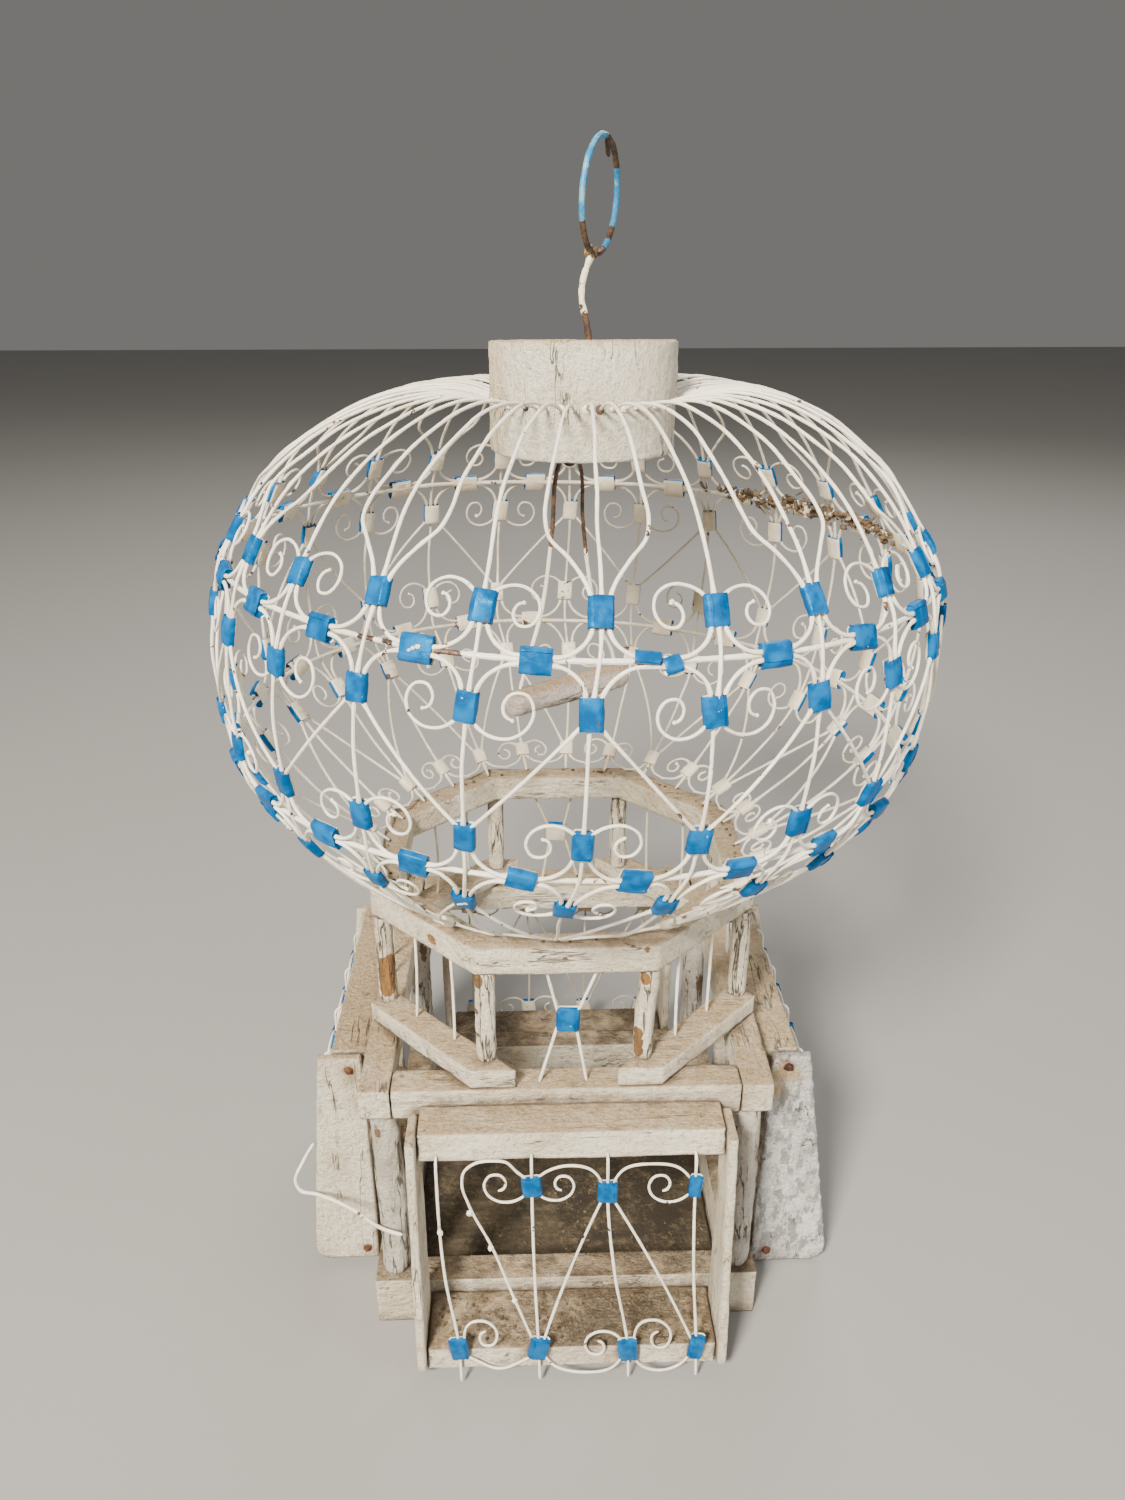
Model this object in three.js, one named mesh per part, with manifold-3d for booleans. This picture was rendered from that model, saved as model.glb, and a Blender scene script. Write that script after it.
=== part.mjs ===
// Wood-and-wire birdcage with an onion-shaped wire dome on a square wooden body.
// Millimetres, +Z up. The origin is the middle of the underside, where the cage stands.
// The front of the cage faces -Y.
import * as THREE from "three";
import { mergeVertices } from "three/addons/utils/BufferGeometryUtils.js";
import Module from "manifold-3d";

const wasm = await Module();
wasm.setup();

// ---------------------------------------------------------------- driving dimensions
const GAP = 0.3; // clearance between touching pieces
const WIRE = 2.2; // painted wire, diameter
const WIRE_SIDE = (WIRE * Math.sqrt(Math.PI)) / 2; // square section of the same area

const BODY_HALF = 92; // half the side of the square body
const RAIL = 14; // width of the body's rails
const FLOOR = 4; // thickness of the floor board
const BASE_TOP = 27.5; // top of the base frame
const FRAME_BOTTOM = 127; // underside of the square top frame
const FRAME_TOP = 142.8;
const CORNER_POST = 13; // diameter of the four corner sticks
const CORNER_POST_AT = 82.5; // their distance from both middle planes

const DIAGONAL_TOP = 153.8; // top of the bars laid over the frame's corners
const DIAGONAL_NEAR = 21.7; // where a bar's inner and outer edges meet the frame's front
const DIAGONAL_FAR = 42.3;
const DIAGONAL_WIDTH = 14.6;

const RING_BOTTOM = 199.8; // octagonal ring that carries the dome
const RING_TOP = 214.1;
const RING_APOTHEM = 88.2; // from the middle to the outer face of a front, back or side bar
const RING_HALF_SIDE = 38.8; // half the length of that bar
const RING_BAR = 12.8; // width of the ring's bars
const ROUND_POST = 8.6; // diameter of the eight turned posts
const ROUND_POST_FRONT = [35, 83]; // their places, beside and in front of the middle
const ROUND_POST_SIDE = [83, 39];

const BLOCK_RADIUS = 38.4; // wooden drum at the crown
const BLOCK_BOTTOM = 402.2;
const BLOCK_TOP = 447.8; // at the front, where the drum is tallest
const BLOCK_BACK_DROP = 5.2; // its top is sawn askew and is lower at the back
const SHANK_OFFSET = 2.2; // the drilled hole is this far to +X of the drum's middle
const SHANK = 2.6; // hanger wire, diameter
const SHANK_HOLE = 2.1; // radius of the drilled hole it turns in
const HANGER_RING_RADIUS = 20.5;
const HANGER_RING_LEAN = 4.5; // degrees towards +X
const HANGER_RING_TURN = 68; // degrees between the ring's plane and the front
const HANGER_EYE = 475; // height where the ring is wrapped on the shank

const PERCH_HEIGHT = 295.1;
const PERCH_LENGTH = 64;
const PERCH_DIAMETER = 12.4;
const PERCH_TURN = 35.4; // degrees from +X to the perch
const SWING_PIVOT = 398.6; // height of the swing wire's top bar
const SWING_OFFSET = -5.5; // from the block's middle to the swing, along X
const SWING_TOP_HALF = 4.6; // half the length of the top bar

// Dome profile from the block down to the ring: distance from the axis, and height.
const PROFILE = [
  [39.1, 423],
  [60, 427],
  [85, 423],
  [108, 412],
  [128, 396],
  [142.5, 375],
  [150, 361],
  [153, 345],
  [155, 322],
  [152.5, 298],
  [149, 281.5],
  [139.5, 265],
  [120, 243.5],
  [95, 223.5],
  [83, RING_TOP + 1.7],
];
// Places along the profile, counted in its points.
const LEVEL_A = 5;
const UPPER_HOOP = 6;
const LEVEL_B = 7;
const LEVEL_C = 9;
const LOWER_HOOP = 10;
const LEVEL_D = 11;
const LEVEL_E = 13;
const DOME_END = PROFILE.length - 1;

const RIBS = 24;
const RIB_STEP = 360 / RIBS;
const SECTORS = 6; // the dome's wires are joined in six panels
const SIDE_WIRE_TURN = RIB_STEP / 2; // the two outer wires of each triple rib
const HOOP_INSET = 5; // the hoops lie just inside the ribs
const CLIP_WIDTH = 7.6;
const CLIP_HEIGHT = 11;
const CLIP_THICKNESS = 4.4;
const CROWN_SHIFT = 3; // the crown sits back towards -X by this much
const LEAN = 0.058; // the dome leans this much to +X for each millimetre of height
const HOOP_TILT = Math.tan(THREE.MathUtils.degToRad(1.6)); // its hoops drop towards +X

// The four boxes: the front one stands for all, turned about Z for the others.
const BOARD_BACK = BODY_HALF + GAP;
const TOP_BOARD = { bottom: 122.5, top: 135.2, front: 110, foot: 113 };
const BOTTOM_BOARD = { bottom: 8.4, top: 20.2, front: 123.6, foot: 124.6 };
const PANEL = { thickness: 4.4, inner: 95, top: 134, bottom: 5, outerTop: 116, outerFoot: 127.5 };
const PANEL_CORNER = 9; // radius of a panel's outer lower corner
const GRILLE_TOP = { out: 115.2, height: 125.5 }; // the hinge line of a grille
const GRILLE_FOOT = { out: 127, height: 3.5 };
const GRILLE_UPPER_CLIP = 106; // heights of the two rows of clips
// The right box has been pushed out of true: its feet stand further out, and its panels hang lower.
const BOXES = [
  { name: "front", turn: 0, half: 71, shift: 1.5, column: 36.5, lowerClip: 20 },
  { name: "right", turn: 90, half: 67, shift: 4, column: 34, lowerClip: 36, flare: 6.8, drop: 4 },
  { name: "back", turn: 180, half: 71, shift: 0, column: 36.5, lowerClip: 20 },
  { name: "left", turn: -90, half: 67, shift: -8, column: 34, lowerClip: 36 },
];

// The hooked wire that keeps the left grille shut, from the grille to the front box.
const LATCH_ROUTE = [
  [-125.6, -45.5, 70],
  [-131, -50, 62],
  [-134, -56, 57],
  [-130, -63, 56.5],
  [-122, -66.2, 57.5],
  [-102, -78, 59],
  [-87, -91, 61],
  [-76.5, -97, 63],
];

// ---------------------------------------------------------------- materials
const material = (color, roughness, metalness = 0) =>
  new THREE.MeshStandardMaterial({ color, roughness, metalness });
const whiteWood = () => material(0xd9d4c8, 0.85);
const bareWood = () => material(0xb9a488, 0.9);
const whiteWire = () => material(0xe9e5d8, 0.45, 0.2);
const blueWire = () => material(0x3f9ad0, 0.4, 0.3);
const rustyWire = () => material(0x7a5236, 0.7, 0.5);

const cage = new THREE.Group();

function add(name, geometry, itsMaterial, parent = cage) {
  const mesh = new THREE.Mesh(geometry, itsMaterial);
  mesh.name = name;
  parent.add(mesh);
  return mesh;
}

// ---------------------------------------------------------------- solids
function solid(geometry) {
  const bare = geometry.index ? geometry.toNonIndexed() : geometry.clone();
  bare.deleteAttribute("normal");
  bare.deleteAttribute("uv");
  const merged = mergeVertices(bare, 1e-4);
  return new wasm.Manifold(
    new wasm.Mesh({
      numProp: 3,
      vertProperties: merged.attributes.position.array,
      triVerts: new Uint32Array(merged.index.array),
    }),
  );
}

function geometryOf(manifold) {
  const mesh = manifold.getMesh();
  const positions = new Float32Array(mesh.triVerts.length * 3);
  mesh.triVerts.forEach((vertex, corner) => {
    for (let axis = 0; axis < 3; axis += 1) {
      positions[corner * 3 + axis] = mesh.vertProperties[vertex * mesh.numProp + axis];
    }
  });
  const geometry = new THREE.BufferGeometry();
  geometry.setAttribute("position", new THREE.BufferAttribute(positions, 3));
  geometry.computeVertexNormals();
  return geometry;
}

function joined(geometries) {
  const whole = geometries.map(solid).reduce((sum, next) => sum.add(next));
  return geometryOf(whole);
}

// ---------------------------------------------------------------- shared shapes
function sectionShape(diameter, sides) {
  const shape = new THREE.Shape();
  for (let side = 0; side < sides; side += 1) {
    const angle = ((side + 0.5) / sides) * 2 * Math.PI;
    const x = (diameter / 2) * Math.cos(angle);
    const y = (diameter / 2) * Math.sin(angle);
    if (side === 0) shape.moveTo(x, y);
    else shape.lineTo(x, y);
  }
  shape.closePath();
  return shape;
}

// A wire through a list of points. Thin wires are square with the area of the round wire.
function wire(points, steps, diameter = WIRE_SIDE * Math.SQRT2, sides = 4) {
  const path = new THREE.CatmullRomCurve3(points, false, "catmullrom", 0.5);
  return new THREE.ExtrudeGeometry(sectionShape(diameter, sides), {
    steps,
    extrudePath: path,
  });
}

function outline(points) {
  return new THREE.Shape(points.map(([x, y]) => new THREE.Vector2(x, y)));
}

// A flat board with an outline in X and Y, between two heights.
function slab(points, bottom, top) {
  const geometry = new THREE.ExtrudeGeometry(outline(points), {
    depth: top - bottom,
    bevelEnabled: false,
  });
  return geometry.translate(0, 0, bottom);
}

function bar(xLow, xHigh, yLow, yHigh, zLow, zHigh) {
  return new THREE.BoxGeometry(xHigh - xLow, yHigh - yLow, zHigh - zLow).translate(
    (xLow + xHigh) / 2,
    (yLow + yHigh) / 2,
    (zLow + zHigh) / 2,
  );
}

function post(x, y, zLow, zHigh, diameter, sides = 10) {
  return new THREE.CylinderGeometry(diameter / 2, diameter / 2, zHigh - zLow, sides)
    .rotateX(Math.PI / 2)
    .translate(x, y, (zLow + zHigh) / 2);
}

// ---------------------------------------------------------------- dome surface
const profileCurve = new THREE.CatmullRomCurve3(
  PROFILE.map(([radius, height]) => new THREE.Vector3(radius, 0, height)),
  false,
  "catmullrom",
  0.5,
);

const leanAt = (height) =>
  LEAN * Math.max(0, height - RING_TOP) - CROWN_SHIFT * THREE.MathUtils.smoothstep(height, 360, 423);

// The hoops' tilt fades out towards the ring and towards the block.
function settled(x, y, z) {
  const fromRing = THREE.MathUtils.smoothstep(z, RING_TOP, PROFILE[LEVEL_D][1]);
  const fromBlock = 1 - THREE.MathUtils.smoothstep(z, PROFILE[LEVEL_A][1], PROFILE[2][1]);
  return new THREE.Vector3(x + leanAt(z), y, z - x * HOOP_TILT * fromRing * fromBlock);
}

// A point of the dome: degrees round from the front, place along the profile, and inset.
function domePoint(degrees, level, inset = 0) {
  const place = profileCurve.getPoint(level / DOME_END);
  const angle = THREE.MathUtils.degToRad(degrees);
  const radius = place.x - inset;
  return settled(radius * Math.sin(angle), -radius * Math.cos(angle), place.z);
}

function clip(degrees, level, width = CLIP_WIDTH, height = CLIP_HEIGHT) {
  const middle = domePoint(degrees, level);
  const down = domePoint(degrees, level + 0.1).sub(domePoint(degrees, level - 0.1)).normalize();
  const round = domePoint(degrees + 1, level).sub(domePoint(degrees - 1, level)).normalize();
  const out = new THREE.Vector3().crossVectors(down, round).normalize();
  const squareRound = new THREE.Vector3().crossVectors(out, down);
  const placed = new THREE.Matrix4().makeBasis(squareRound, out, down).setPosition(middle);
  return new THREE.BoxGeometry(width, CLIP_THICKNESS, height).applyMatrix4(placed);
}

function rib(degrees) {
  const points = [];
  for (let level = 0; level <= DOME_END; level += 1) points.push(domePoint(degrees, level));
  return wire(points, 11);
}

// An outer wire of a triple rib runs beside the rib, then bends sharply into the A clip.
function sideWire(degrees, side) {
  const turn = side * SIDE_WIRE_TURN;
  const points = [0, 1.3, 2.6, 4].map((level) => domePoint(degrees + turn, level));
  points.push(domePoint(degrees + 0.9 * turn, LEVEL_A - 0.5));
  points.push(domePoint(degrees + 0.12 * turn, LEVEL_A));
  return wire(points, 5);
}

// A slanting wire from a rib's clip towards a clip of the rib beside it. It stops short of
// its goal by some millimetres.
function slantedWire(degrees, side, from, to, short) {
  const radius = PROFILE[to][0];
  const reach = 1 - THREE.MathUtils.radToDeg(short / radius) / RIB_STEP;
  return wire(
    [domePoint(degrees + side, from + 0.1), domePoint(degrees + side * RIB_STEP * reach, to - 0.15)],
    1,
  );
}

const isTriple = (index) => index % 2 === 0;

// One panel of the dome: four ribs, their clips, and the wires between them.
function domePanel(first, count) {
  const parts = [];
  for (let index = first; index < first + count; index += 1) {
    const degrees = index * RIB_STEP;
    parts.push(rib(degrees));
    for (const level of [LEVEL_A, LEVEL_B, LEVEL_C, LEVEL_D]) {
      parts.push(clip(degrees, level));
    }
    for (const side of [-1, 1]) {
      const neighbour = index + side;
      const inside = neighbour >= first && neighbour < first + count;
      const short = inside ? 1.5 : CLIP_WIDTH / 2 + WIRE + 0.5;
      if (isTriple(index)) {
        parts.push(sideWire(degrees, side));
        parts.push(slantedWire(degrees, side, LEVEL_B, LEVEL_C, short));
      } else {
        parts.push(slantedWire(degrees, side, LEVEL_D, LEVEL_E, short));
      }
    }
  }
  return joined(parts);
}

const ribsInPanel = RIBS / SECTORS;
for (let panel = 0; panel < SECTORS; panel += 1) {
  add(`dome_panel_${panel + 1}`, domePanel(panel * ribsInPanel, ribsInPanel), whiteWire());
}

function hoop(level) {
  const [radius, height] = PROFILE[level];
  const ring = new THREE.TorusGeometry(radius - HOOP_INSET, WIRE_SIDE / Math.SQRT2, 4, RIBS);
  const corners = ring.attributes.position;
  for (let index = 0; index < corners.count; index += 1) {
    const corner = new THREE.Vector3().fromBufferAttribute(corners, index);
    const place = settled(corner.x, corner.y, corner.z + height);
    corners.setXYZ(index, place.x, place.y, place.z);
  }
  return ring;
}
add("upper_hoop", hoop(UPPER_HOOP), whiteWire());
add("lower_hoop", hoop(LOWER_HOOP), whiteWire());

// ---------------------------------------------------------------- crown block and hanger
const blockX = leanAt(PROFILE[0][1]);

const drum = new THREE.CylinderGeometry(BLOCK_RADIUS, BLOCK_RADIUS, BLOCK_TOP - BLOCK_BOTTOM, 40);
drum.rotateX(Math.PI / 2).translate(blockX, 0, (BLOCK_TOP + BLOCK_BOTTOM) / 2);
// The saw cut across its top runs downhill to the back.
const topVertices = drum.attributes.position;
for (let index = 0; index < topVertices.count; index += 1) {
  if (topVertices.getZ(index) > BLOCK_TOP - 1) {
    const fromFront = (topVertices.getY(index) + BLOCK_RADIUS) / (2 * BLOCK_RADIUS);
    topVertices.setZ(index, BLOCK_TOP - BLOCK_BACK_DROP * fromFront);
  }
}
const shankX = blockX + SHANK_OFFSET;
const drilled = post(shankX, 0, BLOCK_BOTTOM - 1, BLOCK_TOP + 1, 2 * SHANK_HOLE, 12);
add("top_block", geometryOf(solid(drum).subtract(solid(drilled))), whiteWood());

// The shank is a wire through the block, bent over below it and leaning above it.
const shankPoints = [
  new THREE.Vector3(shankX + 1.8, 0, BLOCK_BOTTOM - 3),
  new THREE.Vector3(shankX, 0, BLOCK_BOTTOM - 0.1),
  new THREE.Vector3(shankX, 0, BLOCK_BOTTOM + 12),
  new THREE.Vector3(shankX, 0, BLOCK_TOP - 8),
  new THREE.Vector3(shankX, 0, BLOCK_TOP - 1),
  new THREE.Vector3(shankX - 1.2, 0, BLOCK_TOP + 7),
  new THREE.Vector3(shankX - 2.6, 0, HANGER_EYE - 12),
  new THREE.Vector3(shankX + 0.6, 0, HANGER_EYE),
];
add("hanger_shank", wire(shankPoints, 14, SHANK, 6), rustyWire());

// The ring's wire closes on itself above the shank's tip, and the ring leans over.
const ringGeometry = new THREE.TorusGeometry(HANGER_RING_RADIUS, SHANK / 2, 6, 22)
  .rotateX(Math.PI / 2)
  .rotateZ(THREE.MathUtils.degToRad(HANGER_RING_TURN))
  .translate(0, 0, HANGER_RING_RADIUS)
  .rotateY(THREE.MathUtils.degToRad(HANGER_RING_LEAN))
  .translate(shankX + 2.5, 0, HANGER_EYE + GAP + SHANK / 2);
add("hanger_ring", ringGeometry, blueWire());

// ---------------------------------------------------------------- perch swing
const swing = new THREE.Group();
swing.position.set(blockX + SWING_OFFSET, 0, SWING_PIVOT);
swing.rotation.z = THREE.MathUtils.degToRad(PERCH_TURN);
cage.add(swing);

// A staple under the block carries the swing. It crosses the swing's top bar.
const STAPLE_HALF = 4;
const stapleTop = BLOCK_BOTTOM - GAP - SWING_PIVOT;
const staplePoints = [
  [-STAPLE_HALF, stapleTop],
  [-STAPLE_HALF, 1],
  [-STAPLE_HALF * 0.7, -1.8],
  [0, -2.6],
  [STAPLE_HALF * 0.7, -1.8],
  [STAPLE_HALF, 1],
  [STAPLE_HALF, stapleTop],
].map(([y, z]) => new THREE.Vector3(0, y, z));
add("swing_staple", wire(staplePoints, 8, WIRE, 5), rustyWire(), swing);

const perchDrop = PERCH_HEIGHT - SWING_PIVOT;
const perchGrip = PERCH_LENGTH / 2 - 5;
const gripTop = perchDrop + PERCH_DIAMETER / 2 + GAP + WIRE / 2;
function swingLeg(side) {
  return [
    [side * SWING_TOP_HALF, 0],
    [side * (SWING_TOP_HALF + 1.4), -2.5],
    [side * (SWING_TOP_HALF + 4), -30],
    [side * (SWING_TOP_HALF + 10), -66],
    [side * perchGrip * 0.9, gripTop + 8],
    [side * perchGrip, gripTop + 0.4],
  ];
}
const bailPoints = [...swingLeg(-1).reverse(), ...swingLeg(1)].map(
  ([x, z]) => new THREE.Vector3(x, 0, z),
);
add("swing_wire", wire(bailPoints, 24, WIRE, 5), whiteWire(), swing);

const perch = new THREE.CylinderGeometry(PERCH_DIAMETER / 2, PERCH_DIAMETER / 2, PERCH_LENGTH, 12);
perch.rotateZ(Math.PI / 2).translate(0, 0, perchDrop);
add("perch", perch, bareWood(), swing);

// ---------------------------------------------------------------- octagonal ring and its posts
function octagon(apothem, halfSide) {
  const corners = [];
  for (let quarter = 0; quarter < 4; quarter += 1) {
    const angle = (quarter * Math.PI) / 2;
    for (const side of [-1, 1]) {
      const x = side * halfSide;
      const y = -apothem;
      corners.push([
        x * Math.cos(angle) - y * Math.sin(angle),
        x * Math.sin(angle) + y * Math.cos(angle),
      ]);
    }
  }
  return corners;
}

const miterShrink = RING_BAR * Math.tan(Math.PI / 8);
const ringShape = outline(octagon(RING_APOTHEM, RING_HALF_SIDE));
ringShape.holes.push(outline(octagon(RING_APOTHEM - RING_BAR, RING_HALF_SIDE - miterShrink)));
const ringSolid = new THREE.ExtrudeGeometry(ringShape, {
  depth: RING_TOP - RING_BOTTOM,
  bevelEnabled: false,
}).translate(0, 0, RING_BOTTOM);
add("octagon_ring", ringSolid, whiteWood());

const quadrants = [
  { name: "front_left", x: -1, y: -1 },
  { name: "front_right", x: 1, y: -1 },
  { name: "back_right", x: 1, y: 1 },
  { name: "back_left", x: -1, y: 1 },
];

for (const { name, x, y } of quadrants) {
  for (const [kind, place] of [
    ["end", ROUND_POST_FRONT],
    ["side", ROUND_POST_SIDE],
  ]) {
    const stick = post(x * place[0], y * place[1], DIAGONAL_TOP + GAP, RING_BOTTOM - GAP, ROUND_POST);
    add(`round_post_${name}_${kind}`, stick, whiteWood());
  }
}

// ---------------------------------------------------------------- bars over the frame's corners
const cut = DIAGONAL_WIDTH / Math.SQRT2;
const diagonalOutline = [
  [DIAGONAL_NEAR, BODY_HALF],
  [DIAGONAL_FAR, BODY_HALF],
  [BODY_HALF, DIAGONAL_FAR],
  [BODY_HALF - cut, DIAGONAL_FAR - cut],
];
for (const { name, x, y } of quadrants) {
  const points = diagonalOutline.map(([across, out]) => [x * across, y * out]);
  if (x * y < 0) points.reverse();
  add(`diagonal_bar_${name}`, slab(points, FRAME_TOP + GAP, DIAGONAL_TOP), whiteWood());
}

// ---------------------------------------------------------------- square top frame
for (const [name, side] of [["left", -1], ["right", 1]]) {
  const inner = side * (BODY_HALF - RAIL);
  const outer = side * BODY_HALF;
  const rail = bar(
    Math.min(inner, outer), Math.max(inner, outer), -BODY_HALF, BODY_HALF, FRAME_BOTTOM, FRAME_TOP,
  );
  add(`top_rail_${name}`, rail, whiteWood());
}
for (const [name, side] of [["front", -1], ["back", 1]]) {
  const reach = BODY_HALF - RAIL - GAP;
  const inner = side * (BODY_HALF - RAIL);
  const outer = side * BODY_HALF;
  const rail = bar(
    -reach, reach, Math.min(inner, outer), Math.max(inner, outer), FRAME_BOTTOM, FRAME_TOP,
  );
  add(`top_rail_${name}`, rail, whiteWood());
}

// ---------------------------------------------------------------- corner posts, base and floor
for (const { name, x, y } of quadrants) {
  const stick = post(
    x * CORNER_POST_AT, y * CORNER_POST_AT, BASE_TOP + GAP, FRAME_BOTTOM - GAP, CORNER_POST,
  );
  add(`corner_post_${name}`, stick, bareWood());
}

const square = (half) => [[-half, -half], [half, -half], [half, half], [-half, half]];
const baseShape = outline(square(BODY_HALF));
baseShape.holes.push(outline(square(BODY_HALF - RAIL)));
add(
  "base_frame",
  new THREE.ExtrudeGeometry(baseShape, { depth: BASE_TOP, bevelEnabled: false }),
  whiteWood(),
);
add("floor_board", slab(square(BODY_HALF - RAIL - GAP), 0, FLOOR), bareWood());

// ---------------------------------------------------------------- the four boxes
// A board runs along X. Its cross-section is given by distances out to -Y and heights.
function boxBoard(half, { bottom, top, front, foot }) {
  const section = outline([
    [BOARD_BACK, bottom],
    [foot, bottom],
    [front, top],
    [BOARD_BACK, top],
  ]);
  const length = 2 * (half - PANEL.thickness - GAP);
  const board = new THREE.ExtrudeGeometry(section, { depth: length, bevelEnabled: false });
  return standing(board, length);
}

// Turns a profile drawn as (distance out, height) upright and centres it on X.
function standing(geometry, length) {
  const upright = new THREE.Matrix4().makeBasis(
    new THREE.Vector3(0, -1, 0),
    new THREE.Vector3(0, 0, 1),
    new THREE.Vector3(-1, 0, 0),
  );
  return geometry.applyMatrix4(upright).translate(length / 2, 0, 0);
}

function boxPanel({ flare = 0, drop = 0 }) {
  const { thickness, inner, top, outerTop } = PANEL;
  const bottom = PANEL.bottom - drop;
  const outerFoot = PANEL.outerFoot + flare;
  const shape = new THREE.Shape();
  shape.moveTo(inner, bottom);
  shape.lineTo(outerFoot - PANEL_CORNER, bottom);
  shape.quadraticCurveTo(outerFoot, bottom, outerFoot, bottom + PANEL_CORNER);
  shape.lineTo(outerTop, top);
  shape.lineTo(inner + 0.38 * flare, top);
  shape.closePath();
  const panel = new THREE.ExtrudeGeometry(shape, {
    depth: thickness,
    bevelEnabled: false,
    curveSegments: 4,
  });
  return standing(panel, thickness);
}

// A point of a grille: along X, and its height on the slanting plane of the wires.
function pointOfGrille(x, height, flare, proud = 0) {
  const along = (GRILLE_TOP.height - height) / (GRILLE_TOP.height - GRILLE_FOOT.height);
  const out = THREE.MathUtils.lerp(GRILLE_TOP.out, GRILLE_FOOT.out + flare, along);
  return new THREE.Vector3(x, -(out + proud), height);
}

function grilleClip(x, height, flare) {
  const slope = Math.atan2(
    GRILLE_FOOT.out + flare - GRILLE_TOP.out,
    GRILLE_TOP.height - GRILLE_FOOT.height,
  );
  const middle = pointOfGrille(x, height, flare, 0.7);
  return new THREE.BoxGeometry(CLIP_WIDTH, 3.6, CLIP_HEIGHT)
    .rotateX(-slope)
    .translate(middle.x, middle.y, middle.z);
}

// Four upright wires, arches between the upper clips, and slanting wires to the lower clips.
function grille({ column, lowerClip, flare = 0 }) {
  const grillePoint = (x, height) => pointOfGrille(x, height, flare);
  const columns = [-1.5, -0.5, 0.5, 1.5].map((place) => place * column);
  const arch = 9.5;
  const parts = [];
  for (const x of columns) {
    parts.push(wire([grillePoint(x, GRILLE_TOP.height), grillePoint(x, GRILLE_FOOT.height)], 1));
    parts.push(grilleClip(x, lowerClip, flare));
  }
  for (const x of columns.slice(1)) parts.push(grilleClip(x, GRILLE_UPPER_CLIP, flare));
  for (let bay = 0; bay < 3; bay += 1) {
    const low = columns[bay];
    const high = columns[bay + 1];
    const middle = (low + high) / 2;
    parts.push(
      wire(
        [
          grillePoint(low, GRILLE_UPPER_CLIP + 2),
          grillePoint(middle, GRILLE_UPPER_CLIP + arch),
          grillePoint(high, GRILLE_UPPER_CLIP + 2),
        ],
        3,
      ),
    );
    parts.push(
      wire(
        [
          grillePoint(low, lowerClip - 2),
          grillePoint(middle, lowerClip - arch),
          grillePoint(high, lowerClip - 2),
        ],
        3,
      ),
    );
  }
  // Three wires fan out from the second and fourth columns' lower clips.
  for (const [from, to] of [[0, 1], [2, 1], [2, 3]]) {
    parts.push(
      wire([grillePoint(columns[from], GRILLE_UPPER_CLIP), grillePoint(columns[to], lowerClip)], 1),
    );
  }
  return joined(parts);
}

for (const box of BOXES) {
  const group = new THREE.Group();
  group.rotation.z = THREE.MathUtils.degToRad(box.turn);
  cage.add(group);
  const shifted = (geometry, x = 0) => geometry.translate(box.shift + x, 0, 0);
  add(`${box.name}_box_top_board`, shifted(boxBoard(box.half, TOP_BOARD)), whiteWood(), group);
  const reach = 0.88 * (box.flare ?? 0); // the bottom board stays just behind the grille's wires
  const bottomBoard = {
    ...BOTTOM_BOARD,
    front: BOTTOM_BOARD.front + reach,
    foot: BOTTOM_BOARD.foot + reach,
  };
  add(`${box.name}_box_bottom_board`, shifted(boxBoard(box.half, bottomBoard)), whiteWood(), group);
  const panelX = box.half - PANEL.thickness / 2;
  add(`${box.name}_box_panel_1`, shifted(boxPanel(box), -panelX), whiteWood(), group);
  add(`${box.name}_box_panel_2`, shifted(boxPanel(box), panelX), whiteWood(), group);
  add(`${box.name}_grille`, shifted(grille(box)), whiteWire(), group);
}

// ---------------------------------------------------------------- latch wire
const latchPoints = LATCH_ROUTE.map(([x, y, z]) => new THREE.Vector3(x, y, z));
add("latch_wire", wire(latchPoints, 13, WIRE * 0.75, 4), whiteWire());

export default cage;
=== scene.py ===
import math
import random

import bmesh
import bpy
from mathutils import Matrix, Vector, kdtree, noise


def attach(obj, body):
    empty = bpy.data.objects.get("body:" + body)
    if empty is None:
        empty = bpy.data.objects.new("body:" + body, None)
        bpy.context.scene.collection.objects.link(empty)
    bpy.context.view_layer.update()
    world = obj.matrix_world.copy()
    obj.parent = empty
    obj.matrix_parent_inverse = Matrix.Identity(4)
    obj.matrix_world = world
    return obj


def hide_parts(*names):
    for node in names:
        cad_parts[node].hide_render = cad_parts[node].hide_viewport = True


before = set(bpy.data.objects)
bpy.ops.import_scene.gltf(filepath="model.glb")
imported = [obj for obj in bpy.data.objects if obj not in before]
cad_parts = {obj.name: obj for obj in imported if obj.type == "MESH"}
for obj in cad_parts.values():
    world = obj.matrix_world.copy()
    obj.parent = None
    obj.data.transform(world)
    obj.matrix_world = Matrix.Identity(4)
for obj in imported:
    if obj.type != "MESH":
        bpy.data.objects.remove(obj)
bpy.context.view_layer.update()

# Lengths are in millimetres until a mesh is made.
MM = 0.001
SEED = 11  # every run makes the same cage
rng = random.Random(SEED)
noise.seed_set(SEED)

# ------------------------------------------------------------------ the object's measurements
RIBS = 24
RIB_STEP = 360 / RIBS  # degrees
# Heights, and the crown block's radius.
RING_TOP = 214.1
RING_BOTTOM = 199.8
FRAME_TOP = 142.8
DIAGONAL_TOP = 153.8
BLOCK_RADIUS = 38.4
BLOCK_BOTTOM = 402.2
BLOCK_TOP = 447.8
LEAN = 0.058  # how far the dome leans to the right for each millimetre above its ring
CROWN_HEIGHT = 423
CROWN_SHIFT = 3  # how far the crown has slipped back to the left at that height
HOOP_TILT = math.tan(math.radians(1.6))  # the hoops are lower on the right
NECK_LOW = 153.9
NECK_HIGH = 199.8
WIRE_HOLES = 422.7  # height of the row of holes round the crown block

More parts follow.
